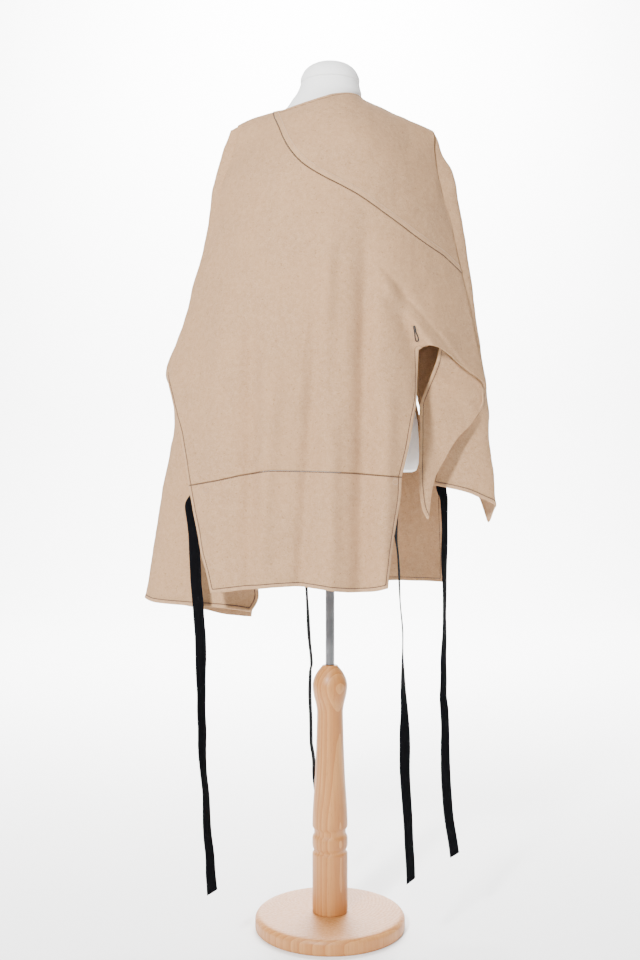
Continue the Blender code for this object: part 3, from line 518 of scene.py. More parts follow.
# Finishes.
def colour(red, green, blue):
    # From the 0 to 255 of a picture to the shader's linear values.
    return tuple(((v / 255 + 0.055) / 1.055) ** 2.4 for v in (red, green, blue)) + (1.0,)


def addNode(tree, kind, values=None, **settings):
    node = tree.nodes.new("ShaderNode" + kind)
    for name, value in settings.items():
        setattr(node, name, value)
    for name, value in (values or {}).items():
        if isinstance(value, bpy.types.NodeSocket):
            tree.links.new(value, node.inputs[name])
        else:
            node.inputs[name].default_value = value
    return node


def sums(tree, operation, a, b, clamp=False):
    node = addNode(tree, "Math", {0: a, 1: b}, operation=operation)
    node.use_clamp = clamp
    return node.outputs[0]


def spread(tree, value, low, high, toLow=0.0, toHigh=1.0):
    return addNode(tree, "MapRange", {"Value": value, "From Min": low, "From Max": high, "To Min": toLow,
                                      "To Max": toHigh}, interpolation_type="SMOOTHSTEP").outputs["Result"]


def blendColour(tree, amount, a, b):
    node = addNode(tree, "Mix", {0: amount, 6: a, 7: b}, data_type="RGBA")
    return node.outputs[2]


def tint(tree, base, mask, amount, shade):
    # The shade laid over the base by an amount of the mask.
    return blendColour(tree, sums(tree, "MULTIPLY", mask, amount), base, shade)


def newGroup(name, inputs, outputs):
    group = bpy.data.node_groups.new(name, "ShaderNodeTree")
    for label, kind, value in inputs:
        socket = group.interface.new_socket(label, in_out="INPUT", socket_type="NodeSocket" + kind)
        if value is not None:
            socket.default_value = value
    for label in outputs:
        group.interface.new_socket(label, in_out="OUTPUT", socket_type="NodeSocketFloat")
    return group, group.nodes.new("NodeGroupInput").outputs, group.nodes.new("NodeGroupOutput").inputs


def noise(tree, vector, scale, detail=2.0, roughness=0.55):
    return addNode(tree, "TexNoise", {"Vector": vector, "Scale": scale, "Detail": detail,
                                      "Roughness": roughness}).outputs["Fac"]


def stretched(tree, vector, scale):
    return addNode(tree, "Mapping", {"Vector": vector, "Scale": scale}).outputs["Vector"]


# Felted fibres: fine flecks, rare dark specks, slow changes of tone, and a nap that lies down the cloth.
fibreGroup, given, wanted = newGroup(
    "feltedFibres",
    (("Vector", "Vector", None), ("Fleck scale", "Float", 430.0), ("Tone scale", "Float", 13.0)),
    ("Flecks", "Specks", "Tone", "Mottle", "Nap"))
flecks = noise(fibreGroup, given["Vector"], given["Fleck scale"], 3.0, 0.7)
fibreGroup.links.new(spread(fibreGroup, flecks, 0.32, 0.68), wanted["Flecks"])
specks = noise(fibreGroup, given["Vector"], sums(fibreGroup, "MULTIPLY", given["Fleck scale"], 0.55), 1.0)
fibreGroup.links.new(spread(fibreGroup, specks, 0.66, 0.74), wanted["Specks"])
tone = noise(fibreGroup, given["Vector"], given["Tone scale"], 3.0)
fibreGroup.links.new(spread(fibreGroup, tone, 0.3, 0.7), wanted["Tone"])
mottleScale = sums(fibreGroup, "MULTIPLY", given["Tone scale"], 9.0)
mottle = noise(fibreGroup, given["Vector"], mottleScale, 4.0, 0.65)
fibreGroup.links.new(spread(fibreGroup, mottle, 0.3, 0.7), wanted["Mottle"])
combed = stretched(fibreGroup, given["Vector"], (1.0, 1.0, 0.4))
nap = noise(fibreGroup, combed, sums(fibreGroup, "MULTIPLY", given["Fleck scale"], 3.2), 2.0, 0.7)
coarseScale = sums(fibreGroup, "MULTIPLY", given["Fleck scale"], 0.45)
coarse = noise(fibreGroup, given["Vector"], coarseScale, 2.0)
napHeight = sums(fibreGroup, "ADD", nap, sums(fibreGroup, "MULTIPLY", coarse, 0.8))
fibreGroup.links.new(napHeight, wanted["Nap"])

# Wood grain: growth rings about an axis beside the piece, long streaks and short pores.
grainGroup, given, wanted = newGroup(
    "woodGrain", (("Vector", "Vector", None), ("Ring scale", "Float", 60.0)), ("Rings", "Streaks", "Pores"))
beside = addNode(grainGroup, "Mapping", {"Vector": given["Vector"], "Location": (0.045, -0.06, 0.0),
                                        "Rotation": (0.02, 0.035, 0.0), "Scale": (1.0, 1.0, 0.16)})
rings = addNode(grainGroup, "TexWave", {"Vector": beside.outputs["Vector"], "Scale": given["Ring scale"],
                                       "Distortion": 2.5, "Detail": 2.0, "Detail Scale": 0.6},
                wave_type="RINGS", rings_direction="Z", wave_profile="SAW")
grainGroup.links.new(rings.outputs["Fac"], wanted["Rings"])
streaks = noise(grainGroup, stretched(grainGroup, given["Vector"], (190.0, 190.0, 5.0)), 1.0, 4.0, 0.65)
grainGroup.links.new(spread(grainGroup, streaks, 0.3, 0.7), wanted["Streaks"])
pores = noise(grainGroup, stretched(grainGroup, given["Vector"], (900.0, 900.0, 45.0)), 1.0, 1.0)
grainGroup.links.new(spread(grainGroup, pores, 0.62, 0.72), wanted["Pores"])


def newMaterial(name, roughness, metallic=0.0, sheen=0.0, specular=0.5):
    material = bpy.data.materials.new(name)
    material.use_nodes = True
    tree = material.node_tree
    shader = tree.nodes["Principled BSDF"]
    shader.inputs["Roughness"].default_value = roughness
    shader.inputs["Metallic"].default_value = metallic
    shader.inputs["Sheen Weight"].default_value = sheen
    shader.inputs["Sheen Roughness"].default_value = 0.5
    shader.inputs["Specular IOR Level"].default_value = specular
    return material, tree, shader, tree.nodes.new("ShaderNodeTexCoord").outputs["Object"]


def useGroup(tree, group, values):
    node = tree.nodes.new("ShaderNodeGroup")
    node.node_tree = group
    for name, value in values.items():
        if isinstance(value, bpy.types.NodeSocket):
            tree.links.new(value, node.inputs[name])
        else:
            node.inputs[name].default_value = value
    return node.outputs


def bump(tree, shader, height, distance, strength=1.0):
    node = addNode(tree, "Bump", {"Height": height, "Distance": distance, "Strength": strength})
    tree.links.new(node.outputs["Normal"], shader.inputs["Normal"])


woolLook = {"light": colour(200, 166, 132), "mid": colour(177, 142, 108), "dark": colour(144, 110, 80),
            "deep": colour(138, 103, 73), "speck": colour(86, 60, 42), "warm": colour(184, 144, 106),
            "seamShade": colour(30, 19, 12)}
woolMaterial, tree, shader, place = newMaterial("brushedWool", 0.95, sheen=0.04, specular=0.08)
fibres = useGroup(tree, fibreGroup, {"Vector": place, "Fleck scale": 430.0, "Tone scale": 13.0})
base = blendColour(tree, fibres["Flecks"], woolLook["dark"], woolLook["light"])
base = blendColour(tree, 0.70, base, woolLook["mid"])
base = tint(tree, base, fibres["Mottle"], 0.34, woolLook["deep"])
base = tint(tree, base, fibres["Tone"], 0.28, woolLook["warm"])
base = tint(tree, base, fibres["Specks"], 0.30, woolLook["speck"])
seamGap = addNode(tree, "Attribute", attribute_name="seamGap").outputs["Fac"]
marginHighlight = addNode(tree, "Attribute", attribute_name="marginHighlight").outputs["Fac"]
paintedGrooveShade = addNode(tree, "Attribute", attribute_name="paintedGrooveShade").outputs["Fac"]
# Painted highlight on the raised hem margins and on the band beside the diagonal seam.
base = tint(tree, base, marginHighlight, 0.12, woolLook["light"])
# Painted shade along each hem's stitch groove, and in the joint of each seam.
base = tint(tree, base, paintedGrooveShade, 0.6, woolLook["seamShade"])
base = blendColour(tree, spread(tree, seamGap, 0.0001, 0.0009, 0.8, 0.0), base, woolLook["seamShade"])
tree.links.new(base, shader.inputs["Base Color"])
bump(tree, shader, fibres["Nap"], 0.0004, 0.55)


def newThread(name, roughness, sheen, scale, detail, shades, depth):
    # Spun thread or cord: two shades and a fine relief from one noise.
    material, tree, shader, place = newMaterial(name, roughness, sheen=sheen)
    twist = noise(tree, place, scale, detail)
    tree.links.new(blendColour(tree, twist, *shades), shader.inputs["Base Color"])
    bump(tree, shader, twist, depth)
    return material


threadShades = (colour(40, 28, 20), colour(60, 43, 32))
markShades = (colour(160, 130, 102), colour(190, 160, 130))
cordShades = (colour(16, 10, 8), colour(38, 26, 20))
threadMaterial = newThread("sewingThread", 0.6, 0.1, 2500.0, 1.0, threadShades, 0.0001)
markMaterial = newThread("selfThread", 0.7, 0.1, 2500.0, 1.0, markShades, 0.0001)

formMaterial, tree, shader, place = newMaterial("formJersey", 0.9, sheen=0.05, specular=0.2)
fibres = useGroup(tree, fibreGroup, {"Vector": place, "Fleck scale": 900.0, "Tone scale": 9.0})
base = blendColour(tree, fibres["Flecks"], colour(248, 248, 247), colour(253, 253, 252))
base = tint(tree, base, fibres["Tone"], 0.4, colour(250, 250, 248))
tree.links.new(base, shader.inputs["Base Color"])
bump(tree, shader, fibres["Nap"], 0.0002, 0.5)

rodMaterial, tree, shader, place = newMaterial("rodSteel", 0.36, metallic=0.9)
lines = noise(tree, stretched(tree, place, (60.0, 60.0, 2600.0)), 1.0, 2.0)
blotches = noise(tree, place, 60.0, 2.0)
steel = blendColour(tree, blotches, colour(100, 100, 102), colour(124, 124, 125))
tree.links.new(steel, shader.inputs["Base Color"])
tree.links.new(spread(tree, lines, 0.3, 0.7, 0.30, 0.46), shader.inputs["Roughness"])
bump(tree, shader, lines, 0.00005, 0.4)

woodLook = {"pale": colour(190, 136, 78), "deep": colour(166, 108, 54), "streak": colour(150, 92, 44),
            "pore": colour(120, 72, 36)}
woodMaterial, tree, shader, place = newMaterial("turnedBeech", 0.5, specular=0.45)
grain = useGroup(tree, grainGroup, {"Vector": place, "Ring scale": 46.0})
base = blendColour(tree, grain["Rings"], woodLook["pale"], woodLook["deep"])
base = tint(tree, base, grain["Streaks"], 0.35, woodLook["streak"])
base = tint(tree, base, grain["Pores"], 0.35, woodLook["pore"])
tree.links.new(base, shader.inputs["Base Color"])
tree.links.new(spread(tree, grain["Streaks"], 0.0, 1.0, 0.42, 0.58), shader.inputs["Roughness"])
bump(tree, shader, sums(tree, "ADD", grain["Streaks"], grain["Pores"]), 0.0002, 0.3)

ribPitch = 0.0009
ribbonMaterial, tree, shader, place = newMaterial("blackRibbon", 0.7, specular=0.02)
across = addNode(tree, "Attribute", attribute_name="across").outputs["Fac"]
downRibbon = addNode(tree, "Attribute", attribute_name="down").outputs["Fac"]
ribTurns = sums(tree, "MULTIPLY", downRibbon, 2 * math.pi / ribPitch)
ribs = addNode(tree, "Math", {0: ribTurns}, operation="SINE")
edging = spread(tree, across, 0.86, 0.93)
dust = noise(tree, place, 240.0, 3.0)
base = blendColour(tree, dust, colour(6, 6, 8), colour(13, 13, 16))
base = tint(tree, base, edging, 0.5, colour(30, 31, 40))
tree.links.new(base, shader.inputs["Base Color"])
ribHeight = sums(tree, "MULTIPLY", ribs.outputs[0], sums(tree, "SUBTRACT", 1.0, edging))
bump(tree, shader, ribHeight, 0.00012, 0.5)

cordMaterial = newThread("darkCord", 0.75, 0.3, 1800.0, 2.0, cordShades, 0.0002)
print("finishes made")


# The back: wing and lobe in one piece, the yoke above the diagonal seam, and the hem band.
tipLeft, neckLeft, neckRight, tipRight = -0.1752, -0.1083, 0.0600, 0.1955
wingTip, notch, seamEnd = (-0.3062, 1.0440), (0.1582, 1.0820), (0.2461, 1.2350)
bandLeft, bandRight = (-0.2577, 0.8392), (0.1262, 0.8543)
backOutline = {
    "neckline": ((-0.1060, 1.5420), (-0.0955, 1.5388), (-0.0858, 1.5372), (-0.0707, 1.5376),
                 (-0.0558, 1.5403), (-0.0410, 1.5445), (-0.0117, 1.5537), (0.0031, 1.5598),
                 (0.0179, 1.5640), (0.0329, 1.5668), (0.0482, 1.5685), (0.0600, 1.5700)),
    "diagonalSeam": ((-0.1083, 1.5459), (-0.1055, 1.5280), (-0.0958, 1.4995), (-0.0850, 1.4679),
                     (-0.0728, 1.4433), (-0.0531, 1.4179), (-0.0332, 1.4020), (-0.0105, 1.3877),
                     (0.0200, 1.3715), (0.0511, 1.3542), (0.0734, 1.3397), (0.0977, 1.3233),
                     (0.1260, 1.3054), (0.1538, 1.2879), (0.1810, 1.2735), (0.2089, 1.2607),
                     (0.2273, 1.2480), seamEnd),
    "leftCrease": ((tipLeft, 1.5213), (-0.1759, 1.4993), (-0.1811, 1.4672), (-0.1974, 1.4180),
                   (-0.2102, 1.3776), (-0.2253, 1.3091), (-0.2367, 1.2755), (-0.2500, 1.2341),
                   (-0.2660, 1.1657), (-0.2860, 1.1060), wingTip),
    "rightCreaseHigh": ((tipRight, 1.5124), (0.1965, 1.4800), (0.1990, 1.4467), (0.2098, 1.3909),
                        (0.2263, 1.3302), (0.2361, 1.2808), seamEnd),
    "rightCreaseLow": (seamEnd, (0.2592, 1.1814), (0.2718, 1.1137), (0.2830, 1.0596), (0.2925, 1.0198)),
    "lobeEdge": (notch, (0.1663, 1.0880), (0.1764, 1.0893), (0.1897, 1.0883), (0.2149, 1.0765),
                 (0.2326, 1.0623), (0.2514, 1.0498), (0.2774, 1.0352), (0.2925, 1.0198)),
    "leftSideHigh": (wingTip, (-0.2895, 0.9815), (-0.2740, 0.9218), (-0.2663, 0.8851), bandLeft),
    "leftSideLow": (bandLeft, (-0.2527, 0.8130), (-0.2469, 0.7862), (-0.2403, 0.7551), (-0.2305, 0.7109),
                    (-0.2208, 0.6760), (-0.2135, 0.6490)),
    "rightSideHigh": (notch, (0.1564, 1.0052), (0.1463, 0.9471), (0.1390, 0.9050), (0.1335, 0.8830),
                      bandRight),
    "rightSideLow": (bandRight, (0.1245, 0.8250), (0.1098, 0.7328), (0.1012, 0.6600)),
    "bandSeam": (bandLeft, (-0.2017, 0.8485), (-0.1493, 0.8592), (-0.0975, 0.8654),
                 (-0.0592, 0.8647), (0.0382, 0.8612), (0.0887, 0.8570), bandRight),
    "hem": ((-0.2135, 0.6490), (-0.1310, 0.6586), (-0.0626, 0.6630), (0.0000, 0.6565),
            (0.0501, 0.6517), (0.1012, 0.6600)),
}
notchShare = 25 / 33     # where the notch lies across the back body's columns
shoulderShare = 5 / 33   # and where the shoulder gives way to the diagonal seam
seamShift = 0.0002       # how far each piece stops short of a seam's line
lobe = {"flare": 0.006, "reach": 0.05, "start": 0.03}
shoulderHeight = 1.485   # the side edges above it aren't rolled
backCurl = 0.003
backSeed = 3             # shared, so that the waves run on across the seams


def shifted(points, distance):
    points = np.array(points, float)
    ways = np.gradient(points, axis=0)
    ways /= np.hypot(ways[:, 0], ways[:, 1])[:, None]
    return points + distance * np.stack([-ways[:, 1], ways[:, 0]], axis=-1)


def makeBackBody():
    left = placesAlong(lengthOf((wingTip, notch))) * notchShare
    right = notchShare + placesAlong(lengthOf(backOutline["lobeEdge"])) * (1 - notchShare)
    across = np.concatenate([left, right[1:]])
    topLine = joinedLine(shoulderLine(tipLeft, neckLeft), backOutline["diagonalSeam"])
    topPlace = np.where(across < shoulderShare, across / shoulderShare,
                        1 + (across - shoulderShare) / (1 - shoulderShare))
    top = topLine(topPlace)
    isSeam = across >= shoulderShare
    top[isSeam] = shifted(top[isSeam], -seamShift)
    middleLine = joinedLine((wingTip, notch), backOutline["lobeEdge"])
    middle = middleLine(np.where(across < notchShare, across / notchShare,
                                 1 + (across - notchShare) / (1 - notchShare)))
    upperDown = placesAlong(0.48)
    upper = patch(top, middle, backOutline["leftCrease"], backOutline["rightCreaseLow"], across, upperDown)
    inLower = across <= notchShare + 1e-9
    bottom = shifted(smoothLine(backOutline["bandSeam"], across[inLower] / notchShare), seamShift)
    lowerDown = placesAlong(0.22, startNear=False)[1:]
    lower = patch(middle[inLower], bottom, backOutline["leftSideHigh"], backOutline["rightSideHigh"],
                  across[inLower] / notchShare, lowerDown)
    spare = np.repeat(lower[:, -1:], len(across) - lower.shape[1], axis=1)
    flat = np.concatenate([upper, np.concatenate([lower, spare], axis=1)])
    base = onBack(flat)
    turn, corner = len(upperDown) - 1, int(inLower.sum()) - 1
    # The lobe's lower edge flares a little off the flap behind it.
    nearEdge = 1 - ramp(0.0, lobe["reach"], gapTo(base, (base[turn, corner:],)))
    overLobe = ramp(0.0, lobe["start"], base[..., 0] - notch[0]) * nearEdge
    base[..., 1] -= lobe["flare"] * overLobe
    keep = np.ones((flat.shape[0] - 1, flat.shape[1] - 1), bool)
    keep[turn:, corner:] = False
    rollFrom = (flat[:, 0, 1] > shoulderHeight).sum()
    piece, surface = clothShell(
        "backBody", base, (0, -1, 0), hems=(base[turn:, 0], base[turn:, corner]),
        seams=(base[0], base[-1, :corner + 1]),
        rolls=(base[rollFrom:turn + 1, 0], base[:turn + 1, -1], base[turn, corner:]),
        keep=keep, seed=backSeed, curl=backCurl)
    finishPiece(piece, woolMaterial, ("back_body",))
    return surface, turn, corner


def makeYoke():
    across = placesAlong(lengthOf(backOutline["diagonalSeam"]), startNear=False)
    topLine = np.concatenate([backOutline["neckline"][:-1], shoulderLine(neckRight, tipRight)])
    top = smoothLine(topLine, across)
    seam = shifted(smoothLine(backOutline["diagonalSeam"], across), seamShift)
    seam[0] = top[0] - (0.0, 0.006)
    down = placesAlong(0.24)
    base = onBack(patch(top, seam, (top[0], seam[0]), backOutline["rightCreaseHigh"], across, down))
    neck = int((top[:, 0] < neckRight).sum())
    rollFrom = (base[:, -1, 2] > shoulderHeight).sum()
    piece, surface = clothShell(
        "shoulderYoke", base, (0, -1, 0), hems=(base[0, :neck + 1],), seams=(base[-1], base[0, neck:]),
        rolls=(base[rollFrom:, -1],), seed=backSeed, band=ramp(0.02, 0.04, gapTo(base, (base[0],))))
    finishPiece(piece, woolMaterial, ("yoke",))
    return surface


def makeBackBand():
    across = placesAlong(lengthOf(backOutline["bandSeam"]))
    seam = shifted(smoothLine(backOutline["bandSeam"], across), -seamShift)
    hem = smoothLine(backOutline["hem"], across)
    down = placesAlong(0.20)
    base = onBack(patch(seam, hem, backOutline["leftSideLow"], backOutline["rightSideLow"], across, down))
    piece, surface = clothShell(
        "backBand", base, (0, -1, 0), hems=(base[:, 0], base[:, -1], base[-1]), seams=(base[0],),
        seed=backSeed, curl=backCurl)
    finishPiece(piece, woolMaterial, ("back_band",))
    return surface


backSurface, backTurn, backCorner = makeBackBody()
yokeSurface = makeYoke()
bandSurface = makeBackBand()
print("back made")


# The fronts: each runs from the opening round the side fold to its back edge.
frontCut = {
    "opening": 0.001,
    "break": {"left": (0.138, 0.149), "right": (0.335, 0.345)},   # the hem's step, and the slit
    "slitTop": 1.080,
    "roundLength": 0.56,
    "tuck": 0.009,
    "tuckGap": 0.0050,
    "settles": 8,            # rounds in which the top edge finds its place on the ridge
}
frontNeckline = columnsOf("x z", (-0.108, 1.5460), (-0.092, 1.5290), (-0.065, 1.5140), (-0.030, 1.5050),
                          (0.005, 1.5050), (0.033, 1.5160), (0.052, 1.5360), (0.060, 1.5560),
                          (0.0635, 1.5683))
frontHems = {
    "left": columnsOf("across z", (0.0, 0.646), (0.138, 0.646), (0.149, 0.5704), (0.196, 0.5735),
                      (0.271, 0.588), (0.314, 0.595), (0.373, 0.603), (0.457, 0.613), (0.572, 0.6245),
                      (0.677, 0.6192), (0.816, 0.6175), (0.896, 0.6163), (0.954, 0.6141), (1.0, 0.6100)),
    "right": columnsOf("across z", (0.0, 0.644), (0.335, 0.644), (0.345, 0.838), (0.45, 0.838),
                       (0.485, 0.830), (0.532, 0.810), (0.579, 0.778), (0.600, 0.767), (0.626, 0.775),
                       (0.66, 0.790), (0.70, 0.799), (0.80, 0.812), (0.88, 0.826), (1.0, 0.840)),
}


def tuckUnder(side, base, behind, z):
    # Down to the wing, the last of the cloth bends to lie a little inside the back's side fold.
    if side == "left":
        crease = smoothLine(backOutline["leftCrease"], np.linspace(0, 1, 80))
        inset = frontCut["tuck"]
    else:
        crease = np.concatenate([smoothLine(backOutline["rightCreaseHigh"], np.linspace(0, 1, 50)),
                                 smoothLine(backOutline["rightCreaseLow"], np.linspace(0, 1, 50))[1:]])
        inset = -frontCut["tuck"]
    low, high = crease[-1, 1], crease[0, 1]
    x = np.interp(z, crease[::-1, 1], crease[::-1, 0]) + inset
    behindBack = (wall + frontCut["tuckGap"]) * np.hypot(1, backSlope(x, z, 0.001))
    under = np.stack([x, backDepth(x, z) + behindBack, z], -1)
    amount = ramp(low - 0.050, low - 0.004, z) * (1 - ramp(high - 0.040, high - 0.010, z))
    return base + (amount * ramp(0.25, 1.0, behind))[..., None] * (under - base)


def makeFront(side, node, seed):
    opening, (before, after) = frontCut["opening"], frontCut["break"][side]
    inner = opening + placesAlong(frontCut["roundLength"] * before) * (before - opening)
    outer = after + placesAlong(frontCut["roundLength"] * (1 - after)) * (1 - after)
    across = np.concatenate([inner, outer])
    x = onFront(side, across, np.full(len(across), 1.45))[:, 0]
    for _ in range(frontCut["settles"]):
        neck = (x > frontNeckline["x"][0]) & (x < frontNeckline["x"][-1])
        top = np.where(neck, read(frontNeckline, "z", x, "x"), read(ridge, "z", x, "x"))
        x = onFront(side, across, top)[:, 0]
    above = placesAlong(0.45, endNear=False)[:, None]
    below = placesAlong(0.44, startNear=False)[1:, None]
    slitTop = frontCut["slitTop"]
    hem = read(frontHems[side], "z", across, "across")
    z = np.concatenate([top + (slitTop - top) * above, slitTop + (hem - slitTop) * below])
    base = onFront(side, np.broadcast_to(across, z.shape), z)
    base = tuckUnder(side, base, behindFold(side, across, z), z)
    turn, broken = len(above) - 1, len(inner) - 1
    keep = np.ones((z.shape[0] - 1, z.shape[1] - 1), bool)
    neckEnd = int(neck.sum())
    creaseEnd = backOutline["leftCrease" if side == "left" else "rightCreaseLow"][-1]
    backFrom = int((z[:, -1] > creaseEnd[1]).sum())
    hems = [base[:, 0], base[0, :neckEnd + 1], base[backFrom:, -1]]
    if side == "left":
        # The step in the hem: the inner part's rows end where the cloth there is cut off.
        hems.append(base[-1])
    else:
        keep[turn:, broken] = False
        hems += [base[-1, :broken + 1], base[-1, broken + 1:], base[turn:, broken], base[turn:, broken + 1]]
    piece, surface = clothShell("front" + side.capitalize(), base, (0, 1, 0), hems=hems,
                                seams=(base[0, neckEnd:],), keep=keep, seed=seed)
    finishPiece(piece, woolMaterial, (node,))
    return surface, turn, broken, backFrom


leftSurface, _, leftStep, leftBackFrom = makeFront("left", "front_left", 21)
rightSurface, slitTurn, slit, _ = makeFront("right", "front_right", 34)
print("fronts made")


# The flap in the right side opening.
flap = {
    "top": ((0.2001, 1.1000), (0.2450, 1.0640), (0.2800, 1.0480)),
    "left": ((0.2001, 1.1000), (0.1889, 1.0530), (0.1740, 1.0160), (0.1640, 0.9850), (0.1630, 0.9230),
             (0.1611, 0.8490), (0.1667, 0.8000), (0.1760, 0.7780)),
    "right": ((0.2800, 1.0480), (0.2860, 0.9990), (0.2665, 0.9580), (0.2350, 0.9251), (0.2105, 0.8854),
              (0.1895, 0.8422), (0.1800, 0.7780)),
    "depth": 0.5, "foldY": -0.020, "turn": 0.22, "gap": 0.0006,
}


def makeFlap():
    across, down = placesAlong(0.09), placesAlong(0.30)
    top = smoothLine(flap["top"], across)
    bottom = smoothLine((flap["left"][-1], flap["right"][-1]), across)
    flat = patch(top, bottom, flap["left"], flap["right"], across, down)
    x, z = flat[..., 0], flat[..., 1]
    outer = backDepth(x, z)
    slopeX = backSlope(x, z, 0.002)
    slopeZ = (backDepth(x, z + 0.002) - backDepth(x, z - 0.002)) / 0.004
    against = outer + (wall + flap["gap"]) * np.sqrt(1 + slopeX ** 2 + slopeZ ** 2)
    hung = flap["foldY"] + flap["depth"] * (outer - flap["foldY"])
    drop = ramp(0, flap["turn"], down)[:, None]
    base = np.stack([x, (1 - drop) * against + drop * hung, z], axis=-1)
    piece, surface = clothShell("sleeveFlap", base, (0, -1, 0), hems=(base[:, 0],), rolls=(base[:, -1],),
                                seed=8)
    finishPiece(piece, woolMaterial, ("sleeve_flap",))
    return surface


flapSurface = makeFlap()
print("flap made")


# Sewing on each piece.
def sew(name, rows, material=threadMaterial):
    piece = sewing(name, [stitchRow(*line) for line in rows])
    return finishPiece(piece, material)


# How far each row of stitches lies from its edge or seam.
hemAt, bandAt, yokeAt, yokeUpperAt = wool["hemWidth"], 0.0011, 0.0009, 0.0105
everyRow = slice(None)
bodyLower = partOf(backSurface, slice(backTurn, None), slice(None, backCorner + 1))
bodyThread = sew("stitchesBackBody", (
    lineAt(bodyLower, "hemGap", hemAt, 1),
    lineAt(bodyLower, "hemGap", hemAt, 1, fromEnd=True)))
bandThread = sew("stitchesBackBand", (
    lineAt(bandSurface, "hemGap", hemAt, 1),
    lineAt(bandSurface, "hemGap", hemAt, 1, fromEnd=True),
    lineAt(bandSurface, "hemGap", hemAt, 0, fromEnd=True),
    lineAt(bandSurface, "seamGap", bandAt, 0)))
yokeThread = sew("stitchesYoke", (lineAt(yokeSurface, "seamGap", yokeAt, 0, fromEnd=True),))
yokeUpperThread = sew("stitchesYokeUpper", (
    lineAt(yokeSurface, "seamGap", yokeUpperAt, 0, fromEnd=True),), markMaterial)
leftThread = sew("stitchesFrontLeft", (
    lineAt(partOf(leftSurface, everyRow, slice(None, leftStep + 1)), "hemGap", hemAt, 0, fromEnd=True),
    lineAt(partOf(leftSurface, everyRow, slice(leftStep + 1, None)), "hemGap", hemAt, 0, fromEnd=True),
    lineAt(leftSurface, "hemGap", hemAt, 1),
    lineAt(leftSurface, "hemGap", hemAt, 1, fromEnd=True, part=slice(leftBackFrom, None))))
bodySide = partOf(rightSurface, everyRow, slice(None, slit + 1))
sleeveSide = partOf(rightSurface, slice(slitTurn, None), slice(slit + 1, None))
besideSlit = slice(slitTurn, None)
rightThread = sew("stitchesFrontRight", (
    lineAt(bodySide, "hemGap", hemAt, 0, fromEnd=True),
    lineAt(bodySide, "hemGap", hemAt, 1),
    lineAt(bodySide, "hemGap", hemAt, 1, fromEnd=True, part=besideSlit),
    lineAt(bodySide, "hemGap", hemAt, 0, fromEnd=True, inside=True),
    lineAt(bodySide, "hemGap", hemAt, 1, fromEnd=True, part=besideSlit, inside=True),
    lineAt(sleeveSide, "hemGap", hemAt, 0, fromEnd=True),
    lineAt(sleeveSide, "hemGap", hemAt, 1)))
flapThread = sew("stitchesSleeveFlap", (lineAt(flapSurface, "hemGap", hemAt, 1),))


# The two small round marks of self-coloured stitches under the band's seam.
marks = {"places": ((-0.2223, 0.8312), (0.1128, 0.8454)), "radius": 0.0048, "pitch": 0.0024,
         "points": 40, "raised": 0.0002}


def seatOn(surface, flat, raised):
    # The nearest grid point of a finished surface, moved along its plane to each place.
    points, normals = surface["outer"].reshape(-1, 3), surface["normals"].reshape(-1, 3)
    nearest = ((points[None, :, ::2] - flat[:, None]) ** 2).sum(-1).argmin(1)
    point, normal = points[nearest], normals[nearest]
    y = point[:, 1] - ((flat - point[:, ::2]) * normal[:, ::2]).sum(1) / normal[:, 1]
    return np.stack([flat[:, 0], y, flat[:, 1]], -1) + raised * normal, normal


def roundMark(x, z):
    angle = np.linspace(0, 2 * math.pi, marks["points"])
    flat = np.stack([x + marks["radius"] * np.cos(angle), z + marks["radius"] * np.sin(angle)], -1)
    return seatOn(bandSurface, flat, marks["raised"])


markRows = [stitchRow(*roundMark(x, z), pitch=marks["pitch"]) for x, z in marks["places"]]
markThread = finishPiece(sewing("roundMarks", markRows), markMaterial)
print("sewing made")


